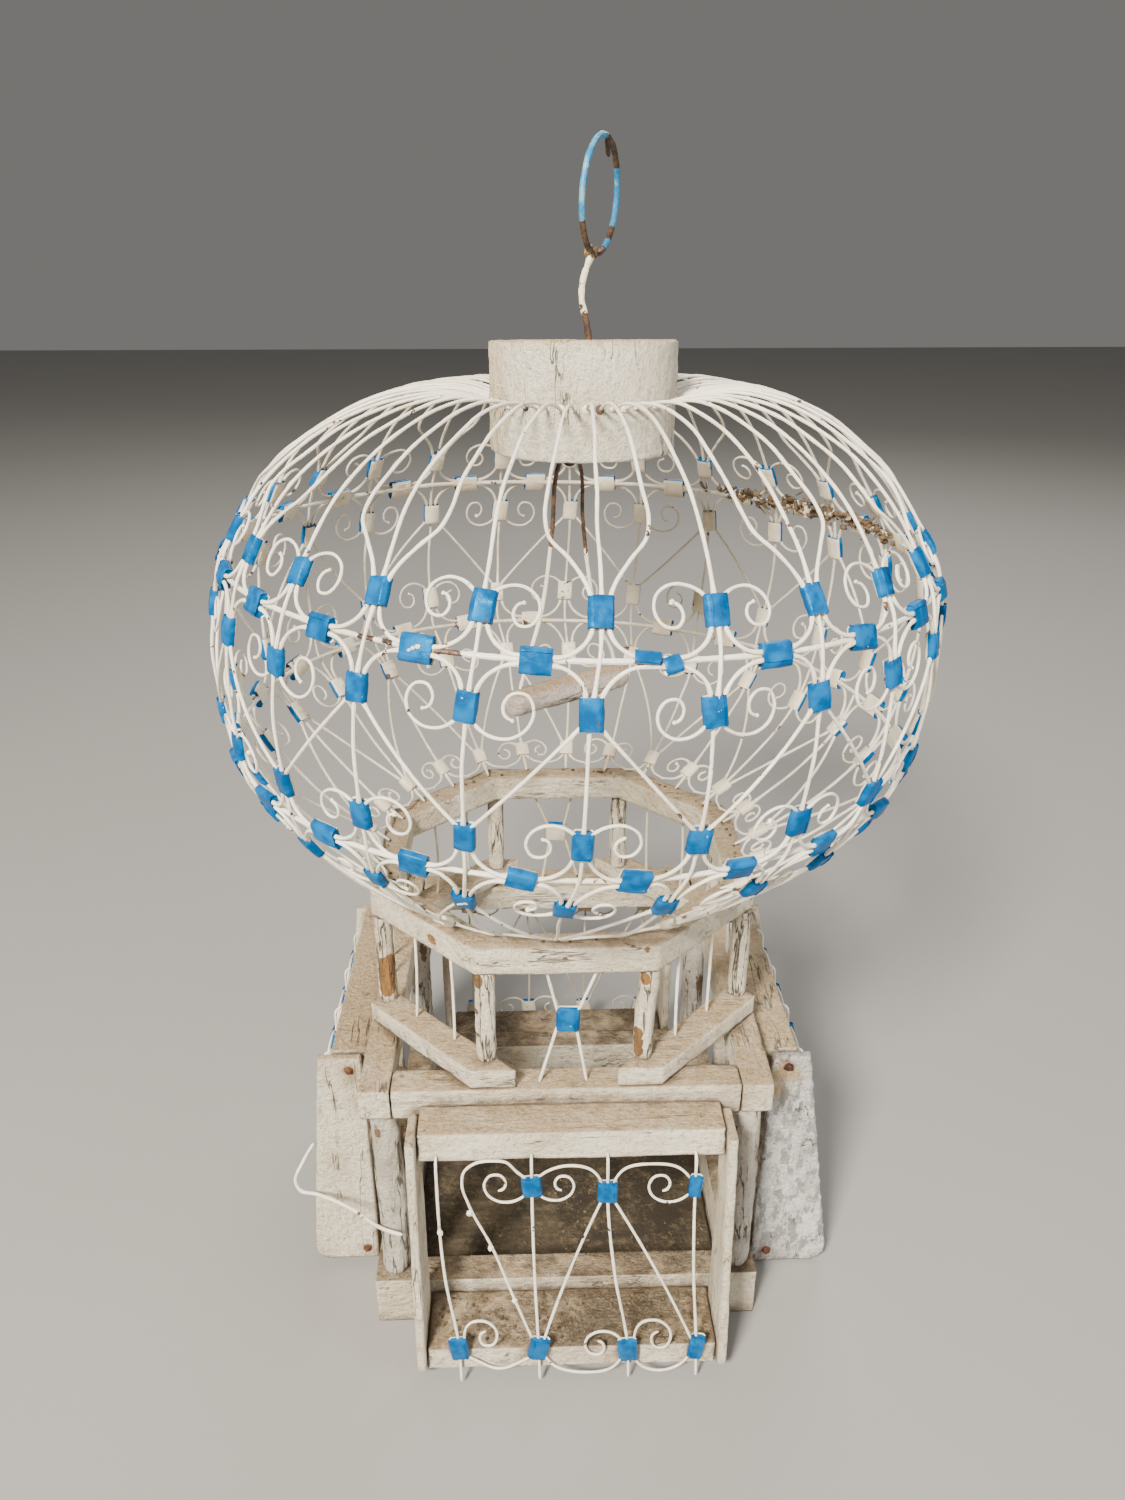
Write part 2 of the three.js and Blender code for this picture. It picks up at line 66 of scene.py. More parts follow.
# Wire radii.
WIRE_RADIUS = 0.67
SCROLL_RADIUS = 0.58
SWAG_RADIUS = 0.69
BRACE_RADIUS = 0.64
HOOP_RADIUS = 0.98
GRILLE_RADIUS = 0.66
ARCH_RADIUS = 0.6
FAN_RADIUS = 0.62
NECK_RADIUS = 0.68

# Dome profile: distance from the axis, height, and how far the ribs are turned there, in degrees.
PROFILE = [
    (37.6, 422.6, 0),
    (60, 427, 0),
    (85, 423, 0),
    (108, 412, 0),
    (128, 396, 0),
    (142.5, 375, 0),
    (150, 361, -0.2),
    (153, 345, -0.7),
    (155, 322, -0.7),
    (152.5, 298, -0.6),
    (149, 281.5, -0.8),
    (139.5, 265, -2.2),
    (120, 243, -2.8),
    (95, 222.5, -3),
    (84, 215.4, -3),
]
# The point of the profile where each row of clips and each hoop is.
LEVEL_NAMES = {"A": 5, "upper_hoop": 6, "B": 7, "C": 9, "lower_hoop": 10, "D": 11, "E": 13}


# ------------------------------------------------------------------ curves
def slope_at(before, here, after):
    """The slope of a smooth curve at a point between two neighbours."""
    back = (here - before).length
    ahead = (after - here).length
    return ((here - before) * (ahead / back) + (after - here) * (back / ahead)) / (back + ahead)


def smooth_line(points, step=2.0, closed=False):
    """Points about one step apart on a smooth curve through the given points."""
    points = [Vector(point) for point in points]
    count = len(points)
    if count == 2:
        pieces = max(1, round((points[1] - points[0]).length / step))
        return [points[0].lerp(points[1], piece / pieces) for piece in range(pieces + 1)]
    if closed:
        slopes = [slope_at(points[i - 1], points[i], points[(i + 1) % count]) for i in range(count)]
    else:
        slopes = [slope_at(points[i - 1], points[i], points[i + 1]) for i in range(1, count - 1)]
        first = (points[1] - points[0]).normalized() * 2 - slopes[0]
        last = (points[-1] - points[-2]).normalized() * 2 - slopes[-1]
        slopes = [first, *slopes, last]
    line = []
    for index in range(count if closed else count - 1):
        start, end = points[index], points[(index + 1) % count]
        from_slope, to_slope = slopes[index], slopes[(index + 1) % count]
        length = (end - start).length
        pieces = max(1, round(length / step))
        for piece in range(pieces):
            t = piece / pieces
            place = start * (2 * t**3 - 3 * t**2 + 1) + end * (3 * t**2 - 2 * t**3)
            place += (from_slope * (t**3 - 2 * t**2 + t) + to_slope * (t**3 - t**2)) * length
            line.append(place)
    if not closed:
        line.append(points[-1])
    return line


# ------------------------------------------------------------------ the dome's surface
profile_line = smooth_line([Vector(point) for point in PROFILE], 1.0)
profile_lengths = [0.0]
for before, after in zip(profile_line, profile_line[1:]):
    profile_lengths.append(profile_lengths[-1] + (after.xy - before.xy).length)


def length_to(index):
    """Millimetres down the profile to one of its given points."""
    goal = Vector(PROFILE[index]).xy
    nearest = min(range(len(profile_line)), key=lambda i: (profile_line[i].xy - goal).length)
    return profile_lengths[nearest]


LEVEL = {name: length_to(index) for name, index in LEVEL_NAMES.items()}
DOME_LENGTH = profile_lengths[-1]


def profile_at(length):
    """Radius, height and turn at a distance down the profile."""
    length = min(max(length, 0.0), DOME_LENGTH)
    low, high = 0, len(profile_lengths) - 1
    while high - low > 1:
        middle = (low + high) // 2
        if profile_lengths[middle] <= length:
            low = middle
        else:
            high = middle
    span = profile_lengths[high] - profile_lengths[low]
    return profile_line[low].lerp(profile_line[high], (length - profile_lengths[low]) / span)


def smoothstep(value, low, high):
    t = min(max((value - low) / (high - low), 0.0), 1.0)
    return t * t * (3 - 2 * t)


def lean_at(height):
    """How far the dome has leant along X at a height."""
    return LEAN * max(0.0, height - RING_TOP) - CROWN_SHIFT * smoothstep(height, 360, CROWN_HEIGHT)


def dome(degrees, length, inset=0.0):
    """A point of the dome: degrees round from the front, and millimetres down its profile."""
    radius, height, turn = profile_at(length)
    angle = math.radians(degrees + turn)
    x = (radius - inset) * math.sin(angle)
    y = -(radius - inset) * math.cos(angle)
    tilt = smoothstep(height, RING_TOP, 265) * (1 - smoothstep(height, 375, CROWN_HEIGHT))
    return Vector((x + lean_at(height), y, height - x * HOOP_TILT * tilt))


def beside(rib, level, across, down):
    """A point near a clip: millimetres across and down the dome from where the rib meets a level."""
    length = LEVEL[level] + down
    radius = profile_at(length)[0]
    return dome(rib * RIB_STEP + math.degrees(across / radius), length)


# ------------------------------------------------------------------ meshes
def make_piece(bm, name, materials, body, replaces=(), sharp=35):
    """Turns a bmesh, in millimetres, into a piece that rides on a CAD body."""
    bmesh.ops.recalc_face_normals(bm, faces=bm.faces)
    for face in bm.faces:
        face.smooth = True
    for edge in bm.edges:
        if len(edge.link_faces) == 2 and edge.calc_face_angle(0) > math.radians(sharp):
            edge.smooth = False
    bmesh.ops.scale(bm, vec=(MM, MM, MM), verts=bm.verts)
    mesh = bpy.data.meshes.new(name)
    bm.to_mesh(mesh)
    bm.free()
    return place_piece(mesh, name, materials, body, replaces)


def place_piece(mesh, name, materials, body, replaces=()):
    """Puts a mesh in the scene as a piece that rides on a CAD body."""
    for material in materials:
        mesh.materials.append(material)
    piece = bpy.data.objects.new(name, mesh)
    bpy.context.scene.collection.objects.link(piece)
    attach(piece, body)
    if replaces:
        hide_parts(*replaces)
    return piece


def join_rings(bm, rings, closed=False):
    """Faces between rings of vertices. Both ends are capped unless they close on each other."""
    sides = len(rings[0])
    pairs = list(zip(rings, rings[1:]))
    if closed:
        pairs.append((rings[-1], rings[0]))
    faces = []
    for one, two in pairs:
        for corner in range(sides):
            following = (corner + 1) % sides
            faces.append(bm.faces.new((one[corner], one[following], two[following], two[corner])))
    if not closed:
        faces += [bm.faces.new(rings[0]), bm.faces.new(rings[-1])]
    return faces


def add_tube(
    bm, points, radius=WIRE_RADIUS, sides=8, step=2.0, closed=False, lumps=0.16, taper=1.0, value=None
):
    """A round wire. Brushed paint makes it uneven, and it is thicker where it enters a clip.

    value is a name and a function of a point, and the mesh keeps what the function gives under the name.
    """
    line = smooth_line(points, step, closed)
    count = len(line)
    normal = None
    rings = []
    if value:
        layer = bm.verts.layers.float.get(value[0]) or bm.verts.layers.float.new(value[0])
    for index, here in enumerate(line):
        before = line[index - 1] if index or closed else here
        after = line[(index + 1) % count] if index + 1 < count or closed else here
        along = (after - before).normalized()
        normal = along.orthogonal() if normal is None else normal - along * normal.dot(along)
        normal.normalize()
        side = along.cross(normal)
        thickness = radius * (1 + lumps * noise.noise(here * 0.31) + 0.6 * lumps * noise.noise(here))
        to_clip = clip_tree.find(here)[2]
        thickness *= 1 + 0.4 * (1 - smoothstep(to_clip, 4.5, 10))
        if not closed and index in (0, count - 1):
            thickness *= 0.65
        thickness *= 1 + (taper - 1) * index / count
        ring = []
        for corner in range(sides):
            angle = 2 * math.pi * corner / sides
            offset = (normal * math.cos(angle) + side * math.sin(angle)) * thickness
            ring.append(bm.verts.new(here + offset))
            if value:
                ring[-1][layer] = value[1](here)
        rings.append(ring)
    join_rings(bm, rings, closed)


def wobbled(point, amount=0.7, seed=0.0):
    """Shifts a point a little, as hand-bent wire does."""
    return point + noise.noise_vector(point * 0.045 + Vector((seed, 0, 0))) * amount


def add_clip(bm, centre, across, out, width, height, thickness, seed, turn=0.0, bare=False):
    """A strip of tin folded round the wires. Its two ends overlap in a step on the outer face."""
    chance = random.Random(seed)
    out = out.normalized()
    across = (across - out * across.dot(out)).normalized()
    spin = Matrix.Rotation(math.radians(turn + chance.uniform(-6, 6)), 3, out)
    tilt = Matrix.Rotation(math.radians(chance.uniform(-6, 6)), 3, across)
    across = spin @ across
    out = tilt @ out
    down = across.cross(out)
    half = width / 2 * chance.uniform(0.93, 1.08)
    height *= chance.uniform(0.93, 1.06)
    deep = thickness / 2
    step_at = half * chance.choice((-0.5, 0.62, 0.7))
    outline = [
        (-half + 1.1, deep - 0.15),
        (-half * 0.55, deep),
        (step_at - 0.05, deep),
        (step_at, deep + 0.35),
        (half * 0.82, deep + 0.2),
        (half - 0.3, deep - 0.35),
        (half, deep - 1.1),
        (half, -deep + 1.0),
        (half - 0.9, -deep),
        (-half + 0.9, -deep),
        (-half, -deep + 1.0),
        (-half, deep - 1.1),
        (-half + 0.3, deep - 0.45),
    ]
    rows = [(-0.5, 0.86), (-0.5, 0.95), (-0.47, 1.0), (-0.3, 1.0), (-0.1, 1.02)]
    rows += [(-along, size) for along, size in reversed(rows)]
    rings = []
    for row, (along, size) in enumerate(rows):
        end = row in (0, len(rows) - 1)
        ring = []
        for u, w in outline:
            slack = 0.0 if end else 0.09
            place = centre + across * (u * size + chance.uniform(-slack, slack))
            bulge = 0.55 * (1 - (u / half) ** 2) * (1 - (2 * along) ** 2) if w > 0 else 0
            place += out * (w * size + bulge + chance.uniform(-slack, slack))
            dent = height * along + chance.uniform(-slack, slack) * 2
            if end:
                dent -= math.copysign(0.5, along)
            place += down * dent
            ring.append(bm.verts.new(place))
        rings.append(ring)
    # The tin's inner face has only its pale coat, and so has all of a bare clip.
    count = len(outline)
    for index, face in enumerate(join_rings(bm, rings)):
        capping = index >= count * (len(rows) - 1)
        inner = not capping and index % count in (7, 8, 9)
        face.material_index = 1 if inner or bare else 0


def add_lump(bm, centre, size, seed=0, detail=1):
    """A small uneven lump: a seed, a blob of paint or a nail's head."""
    made = bmesh.ops.create_icosphere(bm, subdivisions=detail, radius=1)
    for vertex in made["verts"]:
        push = 1 + 0.25 * noise.noise(vertex.co * 1.7 + Vector((seed * 3.1, seed, 0)))
        vertex.co = Vector(centre) + Vector(a * b * push for a, b in zip(vertex.co, size))
    return made["verts"]


# ------------------------------------------------------------------ material building blocks
class Nodes:
    """Short names for the shader nodes that the materials share."""

    def __init__(self, name):
        self.material = bpy.data.materials.new(name)
        self.material.use_nodes = True
        self.tree = self.material.node_tree
        self.shader = self.tree.nodes["Principled BSDF"]
        self.coords = self.add("TexCoord")
        self.place = self.coords.outputs["Object"]
        self.normal = self.coords.outputs["Normal"]

    def add(self, kind, inputs=None, **settings):
        node = self.tree.nodes.new("ShaderNode" + kind)
        for key, value in settings.items():
            setattr(node, key, value)
        for key, value in (inputs or {}).items():
            if isinstance(value, bpy.types.NodeSocket):
                self.tree.links.new(value, node.inputs[key])
            else:
                node.inputs[key].default_value = value
        return node

    def stretched(self, scale):
        return self.add("Mapping", {"Vector": self.place, "Scale": scale}).outputs[0]

    def noise(self, scale, detail=3.0, roughness=0.55, at=None):
        settings = {"Vector": at or self.place, "Scale": scale, "Detail": detail, "Roughness": roughness}
        return self.add("TexNoise", settings).outputs["Fac"]

    def spots(self, scale, at=None):
        return self.add("TexVoronoi", {"Vector": at or self.place, "Scale": scale}).outputs["Distance"]

    def between(self, value, low, high, to_low=0.0, to_high=1.0):
        names = ("Value", "From Min", "From Max", "To Min", "To Max")
        inputs = dict(zip(names, (value, low, high, to_low, to_high)))
        return self.add("MapRange", inputs, interpolation_type="SMOOTHSTEP").outputs[0]

    def math(self, operation, one, two=0.0):
        return self.add("Math", {0: one, 1: two}, operation=operation).outputs[0]

    def plus(self, one, two):
        return self.math("ADD", one, two)

    def minus(self, one, two):
        return self.math("SUBTRACT", one, two)

    def times(self, one, two):
        return self.math("MULTIPLY", one, two)

    def mix(self, factor, one, two):
        return self.add("Mix", {0: factor, 6: one, 7: two}, data_type="RGBA").outputs[2]

    def cover(self, factor, colour):
        """Lays a colour over what is there, where the factor says."""
        self.colour = self.mix(factor, self.colour, colour)

    def axis(self, vector, index):
        return self.add("SeparateXYZ", {0: vector}).outputs[index]

    def attribute(self, name):
        return self.add("Attribute", attribute_name=name).outputs["Fac"]

    def corners(self, distance):
        """1 deep in a corner and 0 on an open surface."""
        node = self.add("AmbientOcclusion", {"Distance": distance}, samples=6)
        return self.minus(1.0, node.outputs["AO"])

    def finish(self, roughness, height, depth, metallic=0.0):
        inputs = self.shader.inputs
        self.tree.links.new(self.colour, inputs["Base Color"])
        if isinstance(roughness, bpy.types.NodeSocket):
            self.tree.links.new(roughness, inputs["Roughness"])
        else:
            inputs["Roughness"].default_value = roughness
        bump = self.add("Bump", {"Height": height, "Distance": depth, "Strength": 1.0})
        self.tree.links.new(bump.outputs[0], inputs["Normal"])
        inputs["Metallic"].default_value = metallic
        return self.material


def painted_wood(name, colours, grain, peel=0.0, dusty=1.0, flaky=0.0, soiled=0.0, mottled=0.0):
    """Old chalky paint on sawn wood: grain, pits darkened as painted shade, cracks, dirt on top, dirt and
    painted shade in corners, and peeling.
    """
    light, shade, dirt, bare = colours
    n = Nodes(name)
    along = n.stretched(grain)
    streaks = n.noise(330, 5, 0.65, along)
    fibres = n.noise(210, 5, 0.7, n.stretched(tuple(0.35 + 0.65 * g for g in grain)))
    chalk = n.noise(430, 5, 0.75)
    n.colour = n.mix(n.between(n.noise(30, 3, 0.6), 0.35, 0.75, 0, 0.7), light, shade)
    n.cover(n.between(fibres, 0.5, 0.72, 0, 0.75), shade)
    n.cover(n.between(streaks, 0.55, 0.74, 0, 0.4), dirt)
    # The brushed paint is full of small pits, darkened as painted shade.
    painted_pit_shade = tuple(0.65 * part for part in shade[:3]) + (1,)
    n.cover(n.between(chalk, 0.34, 0.47, 0.55, 0), painted_pit_shade)
    if mottled:
        # Fine grey patches, longer along the grain, where the coat below shows.
        worn = n.noise(260, 4, 0.6, n.stretched((1, 1, 0.45)))
        n.cover(n.between(worn, 0.48, 0.58, 0, mottled), shade)
    # Dust lies on what faces up, thicker in patches.
    upward = n.between(n.axis(n.normal, 2), 0.35, 0.85)
    patches = n.between(n.noise(60, 5, 0.7), 0.2, 0.62, 0.65, 1.0)
    dust = n.mix(n.between(chalk, 0.32, 0.68, 0.02, 0.32), dirt, light)
    n.cover(n.times(n.times(upward, patches), dusty), dust)
    blots = n.between(n.noise(105, 5, 0.7), 0.57, 0.72, 0, 0.8 * dusty)
    n.cover(n.times(upward, blots), (0.2, 0.145, 0.085, 1))
    if soiled:
        crumb = n.between(n.noise(420, 4, 0.75), 0.4, 0.62)
        crumbs = n.mix(crumb, (0.045, 0.032, 0.018, 1), (0.175, 0.13, 0.08, 1))
        soil = n.between(n.noise(26, 6, 0.8), 0.36, 0.6, 0, soiled)
        n.cover(n.times(upward, soil), crumbs)
    # Brown dirt gathers where pieces meet, and the corners there are darkened as painted shade.
    meeting = n.plus(n.corners(0.012), n.noise(120, 4, 0.7))
    n.cover(n.between(meeting, 0.7, 1.15, 0, 0.85), (0.16, 0.105, 0.06, 1))
    # Cracks follow the grain.
    ridge = n.math("ABSOLUTE", n.minus(n.noise(95 + 110 * flaky, 4, 0.55, along), 0.5))
    sparse = n.between(n.noise(42, 2, 0.5), 0.5 - 0.25 * flaky, 0.6 - 0.25 * flaky)
    crack = n.times(n.between(ridge, 0.0, 0.011 + 0.02 * flaky, 1, 0), sparse)
    n.cover(n.times(crack, 0.75 + 0.2 * flaky), (0.085, 0.05, 0.028, 1))
    specks = n.times(n.between(n.spots(170), 0.06, 0.12, 1, 0), n.between(n.noise(60), 0.5, 0.58))
    n.cover(n.times(specks, 0.8), (0.11, 0.07, 0.04, 1))
    # Where the paint has come off, the wood shows.
    patchy = n.plus(n.noise(48, 5, 0.6, n.stretched(tuple(0.4 + 0.6 * g for g in grain))), peel - 0.5)
    flaked = n.between(n.plus(patchy, n.attribute("peel")), 0.24, 0.27)
    n.cover(flaked, n.mix(n.between(streaks, 0.35, 0.65), bare, (0.2, 0.11, 0.045, 1)))
    # Rust water leaves yellow patches, and each nail a dark stain.
    yellow = n.between(n.noise(110, 4, 0.7), 0.3, 0.6, 0.55, 1)
    n.cover(n.times(n.attribute("yellow"), yellow), (0.72, 0.46, 0.12, 1))
    stain = n.between(n.noise(300, 3, 0.7), 0.2, 0.6, 0.6, 1)
    n.cover(n.times(n.attribute("stain"), stain), (0.2, 0.07, 0.012, 1))
    height = n.plus(n.times(chalk, 0.9), n.times(fibres, 0.9))
    height = n.plus(height, n.times(streaks, 0.5))
    height = n.minus(height, n.times(crack, 0.9))
    height = n.minus(height, n.times(flaked, 0.35))
    return n.finish(n.between(chalk, 0.3, 0.7, 0.75, 0.95), height, 0.004)


def enamelled_wire(name, light, shade, chipped=0.0, dust=0.6):
    """Brushed enamel on wire, chipped to dark rust here and there."""
    n = Nodes(name)
    fine = n.noise(420, 4, 0.65)
    n.colour = n.mix(n.between(n.noise(45, 3, 0.6), 0.4, 0.75), light, shade)
    # The back of the cage is dustier, and the same tan there also stands in as painted shade.
    behind = n.between(n.axis(n.place, 1), -0.05, 0.12, 0, dust)
    n.cover(n.times(behind, n.between(n.noise(70), 0.25, 0.6, 0.3, 1)), (0.38, 0.3, 0.19, 1))
    # What faces down turns tan too: painted shade on the undersides.
    n.cover(n.between(n.axis(n.normal, 2), -0.2, -0.9, 0, 0.5), (0.4, 0.32, 0.21, 1))
    # Brown where wires meet clips and each other: grime, and painted shade in the crevices.
    grime_and_crevice_shade = n.plus(n.corners(0.003), n.times(fine, 0.4))
    n.cover(n.between(grime_and_crevice_shade, 0.66, 1.15, 0, 0.5), (0.3, 0.21, 0.12, 1))
    patchy = n.plus(n.noise(130, 4, 0.6), chipped - 0.5)
    chip = n.between(n.plus(patchy, n.attribute("chipped")), 0.17, 0.19)
    n.cover(chip, n.mix(n.between(fine, 0.4, 0.6), (0.028, 0.02, 0.016, 1), (0.13, 0.055, 0.022, 1)))
    height = n.minus(n.noise(380, 3, 0.6), n.times(chip, 0.8))
    return n.finish(n.between(fine, 0.3, 0.7, 0.35, 0.6), height, 0.0004)


def blue_enamel(name, deep, bright):
    """Glossy brushed blue, chipped at the edges to the white coat below, and painted shade darkens its
    folds.
    """
    n = Nodes(name)
    streaks = n.noise(190, 3, 0.5)
    n.colour = n.mix(n.between(streaks, 0.35, 0.65), deep, bright)
    chip = n.between(n.minus(n.noise(330, 5, 0.65), 0.5), 0.2, 0.215)
    n.cover(chip, (0.8, 0.78, 0.72, 1))
    n.cover(n.times(n.between(n.noise(210, 3, 0.6), 0.69, 0.72), 0.85), (0.1, 0.05, 0.03, 1))
    # Painted shade: dark navy in the tin's folds and at the step of its overlap.
    n.cover(n.between(n.corners(0.0016), 0.25, 0.7, 0, 0.75), (0.0, 0.015, 0.05, 1))
    height = n.minus(n.noise(240, 3, 0.55), n.times(chip, 0.5))
    n.shader.inputs["Specular IOR Level"].default_value = 0.3
    n.shader.inputs["Specular Tint"].default_value = (0.12, 0.6, 1.0, 1)
    return n.finish(n.between(streaks, 0.3, 0.7, 0.3, 0.45), height, 0.0004)


def brown_metal(n, dark, light):
    return n.mix(n.between(n.noise(260, 4, 0.7), 0.35, 0.7), dark, light)


def partly_painted(n, metal, paint, scale, ragged, roughness):
    """Paint with ragged ends where the attribute "painted" says, and bare metal elsewhere."""
    edge = n.plus(n.attribute("painted"), n.between(n.noise(scale, 4, 0.7), 0.3, 0.7, -ragged, ragged))
    n.colour = n.mix(n.between(edge, 0.46, 0.54), metal, paint)
    return n.finish(roughness, n.plus(n.noise(300), n.times(edge, 0.3)), 0.0006)


def hanger_paint(name):
    """Blue paint that has worn off the ring in long patches, down to brown metal."""
    n = Nodes(name)
    paint = n.mix(n.between(n.noise(150), 0.42, 0.6), (0.01, 0.17, 0.36, 1), (0.13, 0.33, 0.4, 1))
    metal = brown_metal(n, (0.02, 0.012, 0.008, 1), (0.12, 0.06, 0.028, 1))
    return partly_painted(n, metal, paint, 340, 0.3, 0.5)


def shank_paint(name):
    """White paint chipped off a rusty shank."""
    n = Nodes(name)
    metal = brown_metal(n, (0.03, 0.015, 0.01, 1), (0.1, 0.046, 0.02, 1))
    paint = n.mix(n.between(n.noise(210, 5, 0.7), 0.56, 0.6), (0.8, 0.72, 0.54, 1), metal)
    return partly_painted(n, metal, paint, 230, 0.5, 0.6)


def rusted_wire(name, light, shade):
    n = Nodes(name)
    grain = n.noise(600, 5, 0.7)
    n.colour = n.mix(n.between(n.noise(200, 3, 0.6), 0.35, 0.65), shade, light)
    n.cover(n.between(grain, 0.6, 0.7, 0, 0.5), (0.42, 0.22, 0.09, 1))
    return n.finish(0.82, grain, 0.0004, metallic=0.25)


def debris_material(name, light, dark):
    n = Nodes(name)
    n.colour = n.mix(n.between(n.noise(240, 3, 0.6), 0.3, 0.7), dark, light)
    return n.finish(0.9, n.noise(700, 3, 0.6), 0.0003)


def dirty_floor(name):
    """The inside of the floor: bare wood under old droppings and seed dust."""
    n = Nodes(name)
    grain = n.noise(180, 4, 0.6, n.stretched((0.1, 1, 1)))
    n.colour = n.mix(n.between(grain, 0.35, 0.65), (0.05, 0.036, 0.02, 1), (0.1, 0.075, 0.042, 1))
    n.cover(n.between(n.noise(28, 6, 0.75), 0.46, 0.56), (0.025, 0.018, 0.01, 1))
    crust = n.between(n.noise(70, 6, 0.8), 0.5, 0.66)
    n.cover(crust, (0.15, 0.11, 0.06, 1))
    n.cover(n.between(n.noise(420, 4, 0.7), 0.42, 0.62, 0.5, 0), (0.02, 0.014, 0.008, 1))
    height = n.plus(n.noise(160, 5, 0.7), n.times(crust, 0.6))
    return n.finish(0.92, height, 0.0012)


TAN_DUST = (0.4, 0.262, 0.125, 1)
OCHRE = (0.42, 0.2, 0.05, 1)
# Each wood's fresh paint, shaded paint, dust and bare wood.
CHALKY = ((0.97, 0.88, 0.69, 1), (0.58, 0.46, 0.29, 1), TAN_DUST, OCHRE)
BRIGHT = ((1.0, 0.93, 0.76, 1), (0.74, 0.63, 0.45, 1), TAN_DUST, OCHRE)
GREY = ((0.96, 0.94, 0.88, 1), (0.4, 0.39, 0.37, 1), (0.2, 0.19, 0.17, 1), OCHRE)
STICK = ((0.74, 0.69, 0.59, 1), (0.45, 0.38, 0.29, 1), TAN_DUST, (0.22, 0.14, 0.08, 1))
PERCH = ((0.72, 0.63, 0.56, 1), (0.5, 0.41, 0.35, 1), TAN_DUST, (0.25, 0.17, 0.11, 1))

wood_along_x = painted_wood("wood_along_x", CHALKY, (0.08, 1, 1))
wood_along_y = painted_wood("wood_along_y", CHALKY, (1, 0.08, 1))
wood_along_z = painted_wood("wood_along_z", CHALKY, (1, 1, 0.08), dusty=0.8)
wood_tan_y = painted_wood("wood_tan_y", CHALKY, (1, 0.08, 1), dusty=1.6)
wood_block = painted_wood("wood_block", BRIGHT, (1, 1, 0.16), peel=-0.03, dusty=0.6)
wood_dirty_x = painted_wood("wood_dirty_x", CHALKY, (0.25, 1, 1), soiled=0.9)
wood_dirty_y = painted_wood("wood_dirty_y", CHALKY, (1, 0.25, 1), soiled=0.95)
wood_mottled = painted_wood("wood_mottled", GREY, (1, 1, 0.4), dusty=0.8, mottled=1.0)
wood_posts = painted_wood("wood_posts", CHALKY, (1, 1, 0.1), peel=0.11, dusty=0.5, flaky=1.0)
wood_sticks = painted_wood("wood_sticks", STICK, (1, 1, 0.12), peel=0.08, flaky=0.6)
perch_wood = painted_wood("perch_wood", PERCH, (0.1, 0.1, 1))
white_wire = enamelled_wire("white_wire", (0.84, 0.79, 0.68, 1), (0.7, 0.63, 0.5, 1))
hoop_wire = enamelled_wire("hoop_wire", (0.84, 0.8, 0.72, 1), (0.66, 0.58, 0.46, 1), chipped=0.03)
blue_tin = blue_enamel("blue_tin", (0.0, 0.065, 0.2, 1), (0.0, 0.12, 0.33, 1))
pale_tin = enamelled_wire("pale_tin", (0.8, 0.73, 0.58, 1), (0.58, 0.48, 0.33, 1), dust=0.3)
hanger_blue = hanger_paint("hanger_blue")
shank_white = shank_paint("shank_white")
rust = rusted_wire("rust", (0.13, 0.05, 0.02, 1), (0.035, 0.016, 0.01, 1))
dark_rust = rusted_wire("dark_rust", (0.13, 0.075, 0.045, 1), (0.03, 0.02, 0.016, 1))
floor_dirt = dirty_floor("floor_dirt")
seed_husks = debris_material("seed_husks", (0.17, 0.125, 0.07, 1), (0.04, 0.028, 0.016, 1))
golden_wire = rusted_wire("golden_wire", (0.4, 0.25, 0.1, 1), (0.07, 0.04, 0.02, 1))
cobweb = debris_material("cobweb", (0.2, 0.13, 0.065, 1), (0.04, 0.025, 0.014, 1))


# ------------------------------------------------------------------ the dome's wires and clips
def make_wires(bm, name, body="cage", nodes=()):
    make_piece(bm, name, [white_wire], body, nodes)


def make_clips(bm, name, body="cage"):
    make_piece(bm, name, [blue_tin, pale_tin], body, (), sharp=50)


# A curl beside a clip, from the clip outwards, as (across, down) in millimetres.
CURL = [
    (3.2, -5.2), (9, -9.2), (15.5, -9.6), (21, -6), (22.6, 0),
    (19.5, 5.2), (14.8, 5.4), (12.4, 1.8), (13.4, -2), (16, -3.4),
]


def scroll_points(kind, side, size, seed):
    """The curl at a given size, on one side of its clip, and above or below it."""
    chance = random.Random(seed)
    grow = size * chance.uniform(0.9, 1.08)
    lean = chance.uniform(-1.4, 1.4)
    flip = 1 if kind == "above" else -1
    return [(side * u * grow, (v * grow + lean * u / 20) * flip) for u, v in CURL]


def add_scrolls(bm, rib, level, kind, size=1.0):
    for side in (-1, 1):
        seed = hash_of(level, rib, side)
        points = [beside(rib, level, u, v) for u, v in scroll_points(kind, side, size, seed)]
        add_tube(bm, [wobbled(p, 0.5, seed) for p in points], SCROLL_RADIUS, 7, 1.4, taper=0.94)
        end = 1.15 if seed % 5 == 0 else 0.75
        add_lump(bm, points[-1], (end, end, end), seed)


def hash_of(*words):
    """A whole number that is always the same for the same words."""
    return sum(ord(letter) * (place + 3) for place, letter in enumerate("".join(map(str, words))))


def add_swag(bm, bay, upper, lower, hang_down):
    """A wire from one rib's clip to the next, touching the hoop in the middle of the bay."""
    level, hoop_level = (upper, lower) if hang_down else (lower, upper)
    sign = 1 if hang_down else -1
    reach = abs(LEVEL[hoop_level] - LEVEL[level])
    width = math.radians(RIB_STEP) * profile_at(LEVEL[level])[0]
    shape = [(2.3, 4.6), (4.6, reach * 0.62), (9.5, reach - 2.4), (width / 2, reach - 1.2)]
    points = [beside(bay, level, u, sign * v) for u, v in shape]
    points += [beside(bay + 1, level, -u, sign * v) for u, v in reversed(shape[:-1])]
    add_tube(bm, [wobbled(p, 0.6, bay) for p in points], SWAG_RADIUS, 8, 1.8)


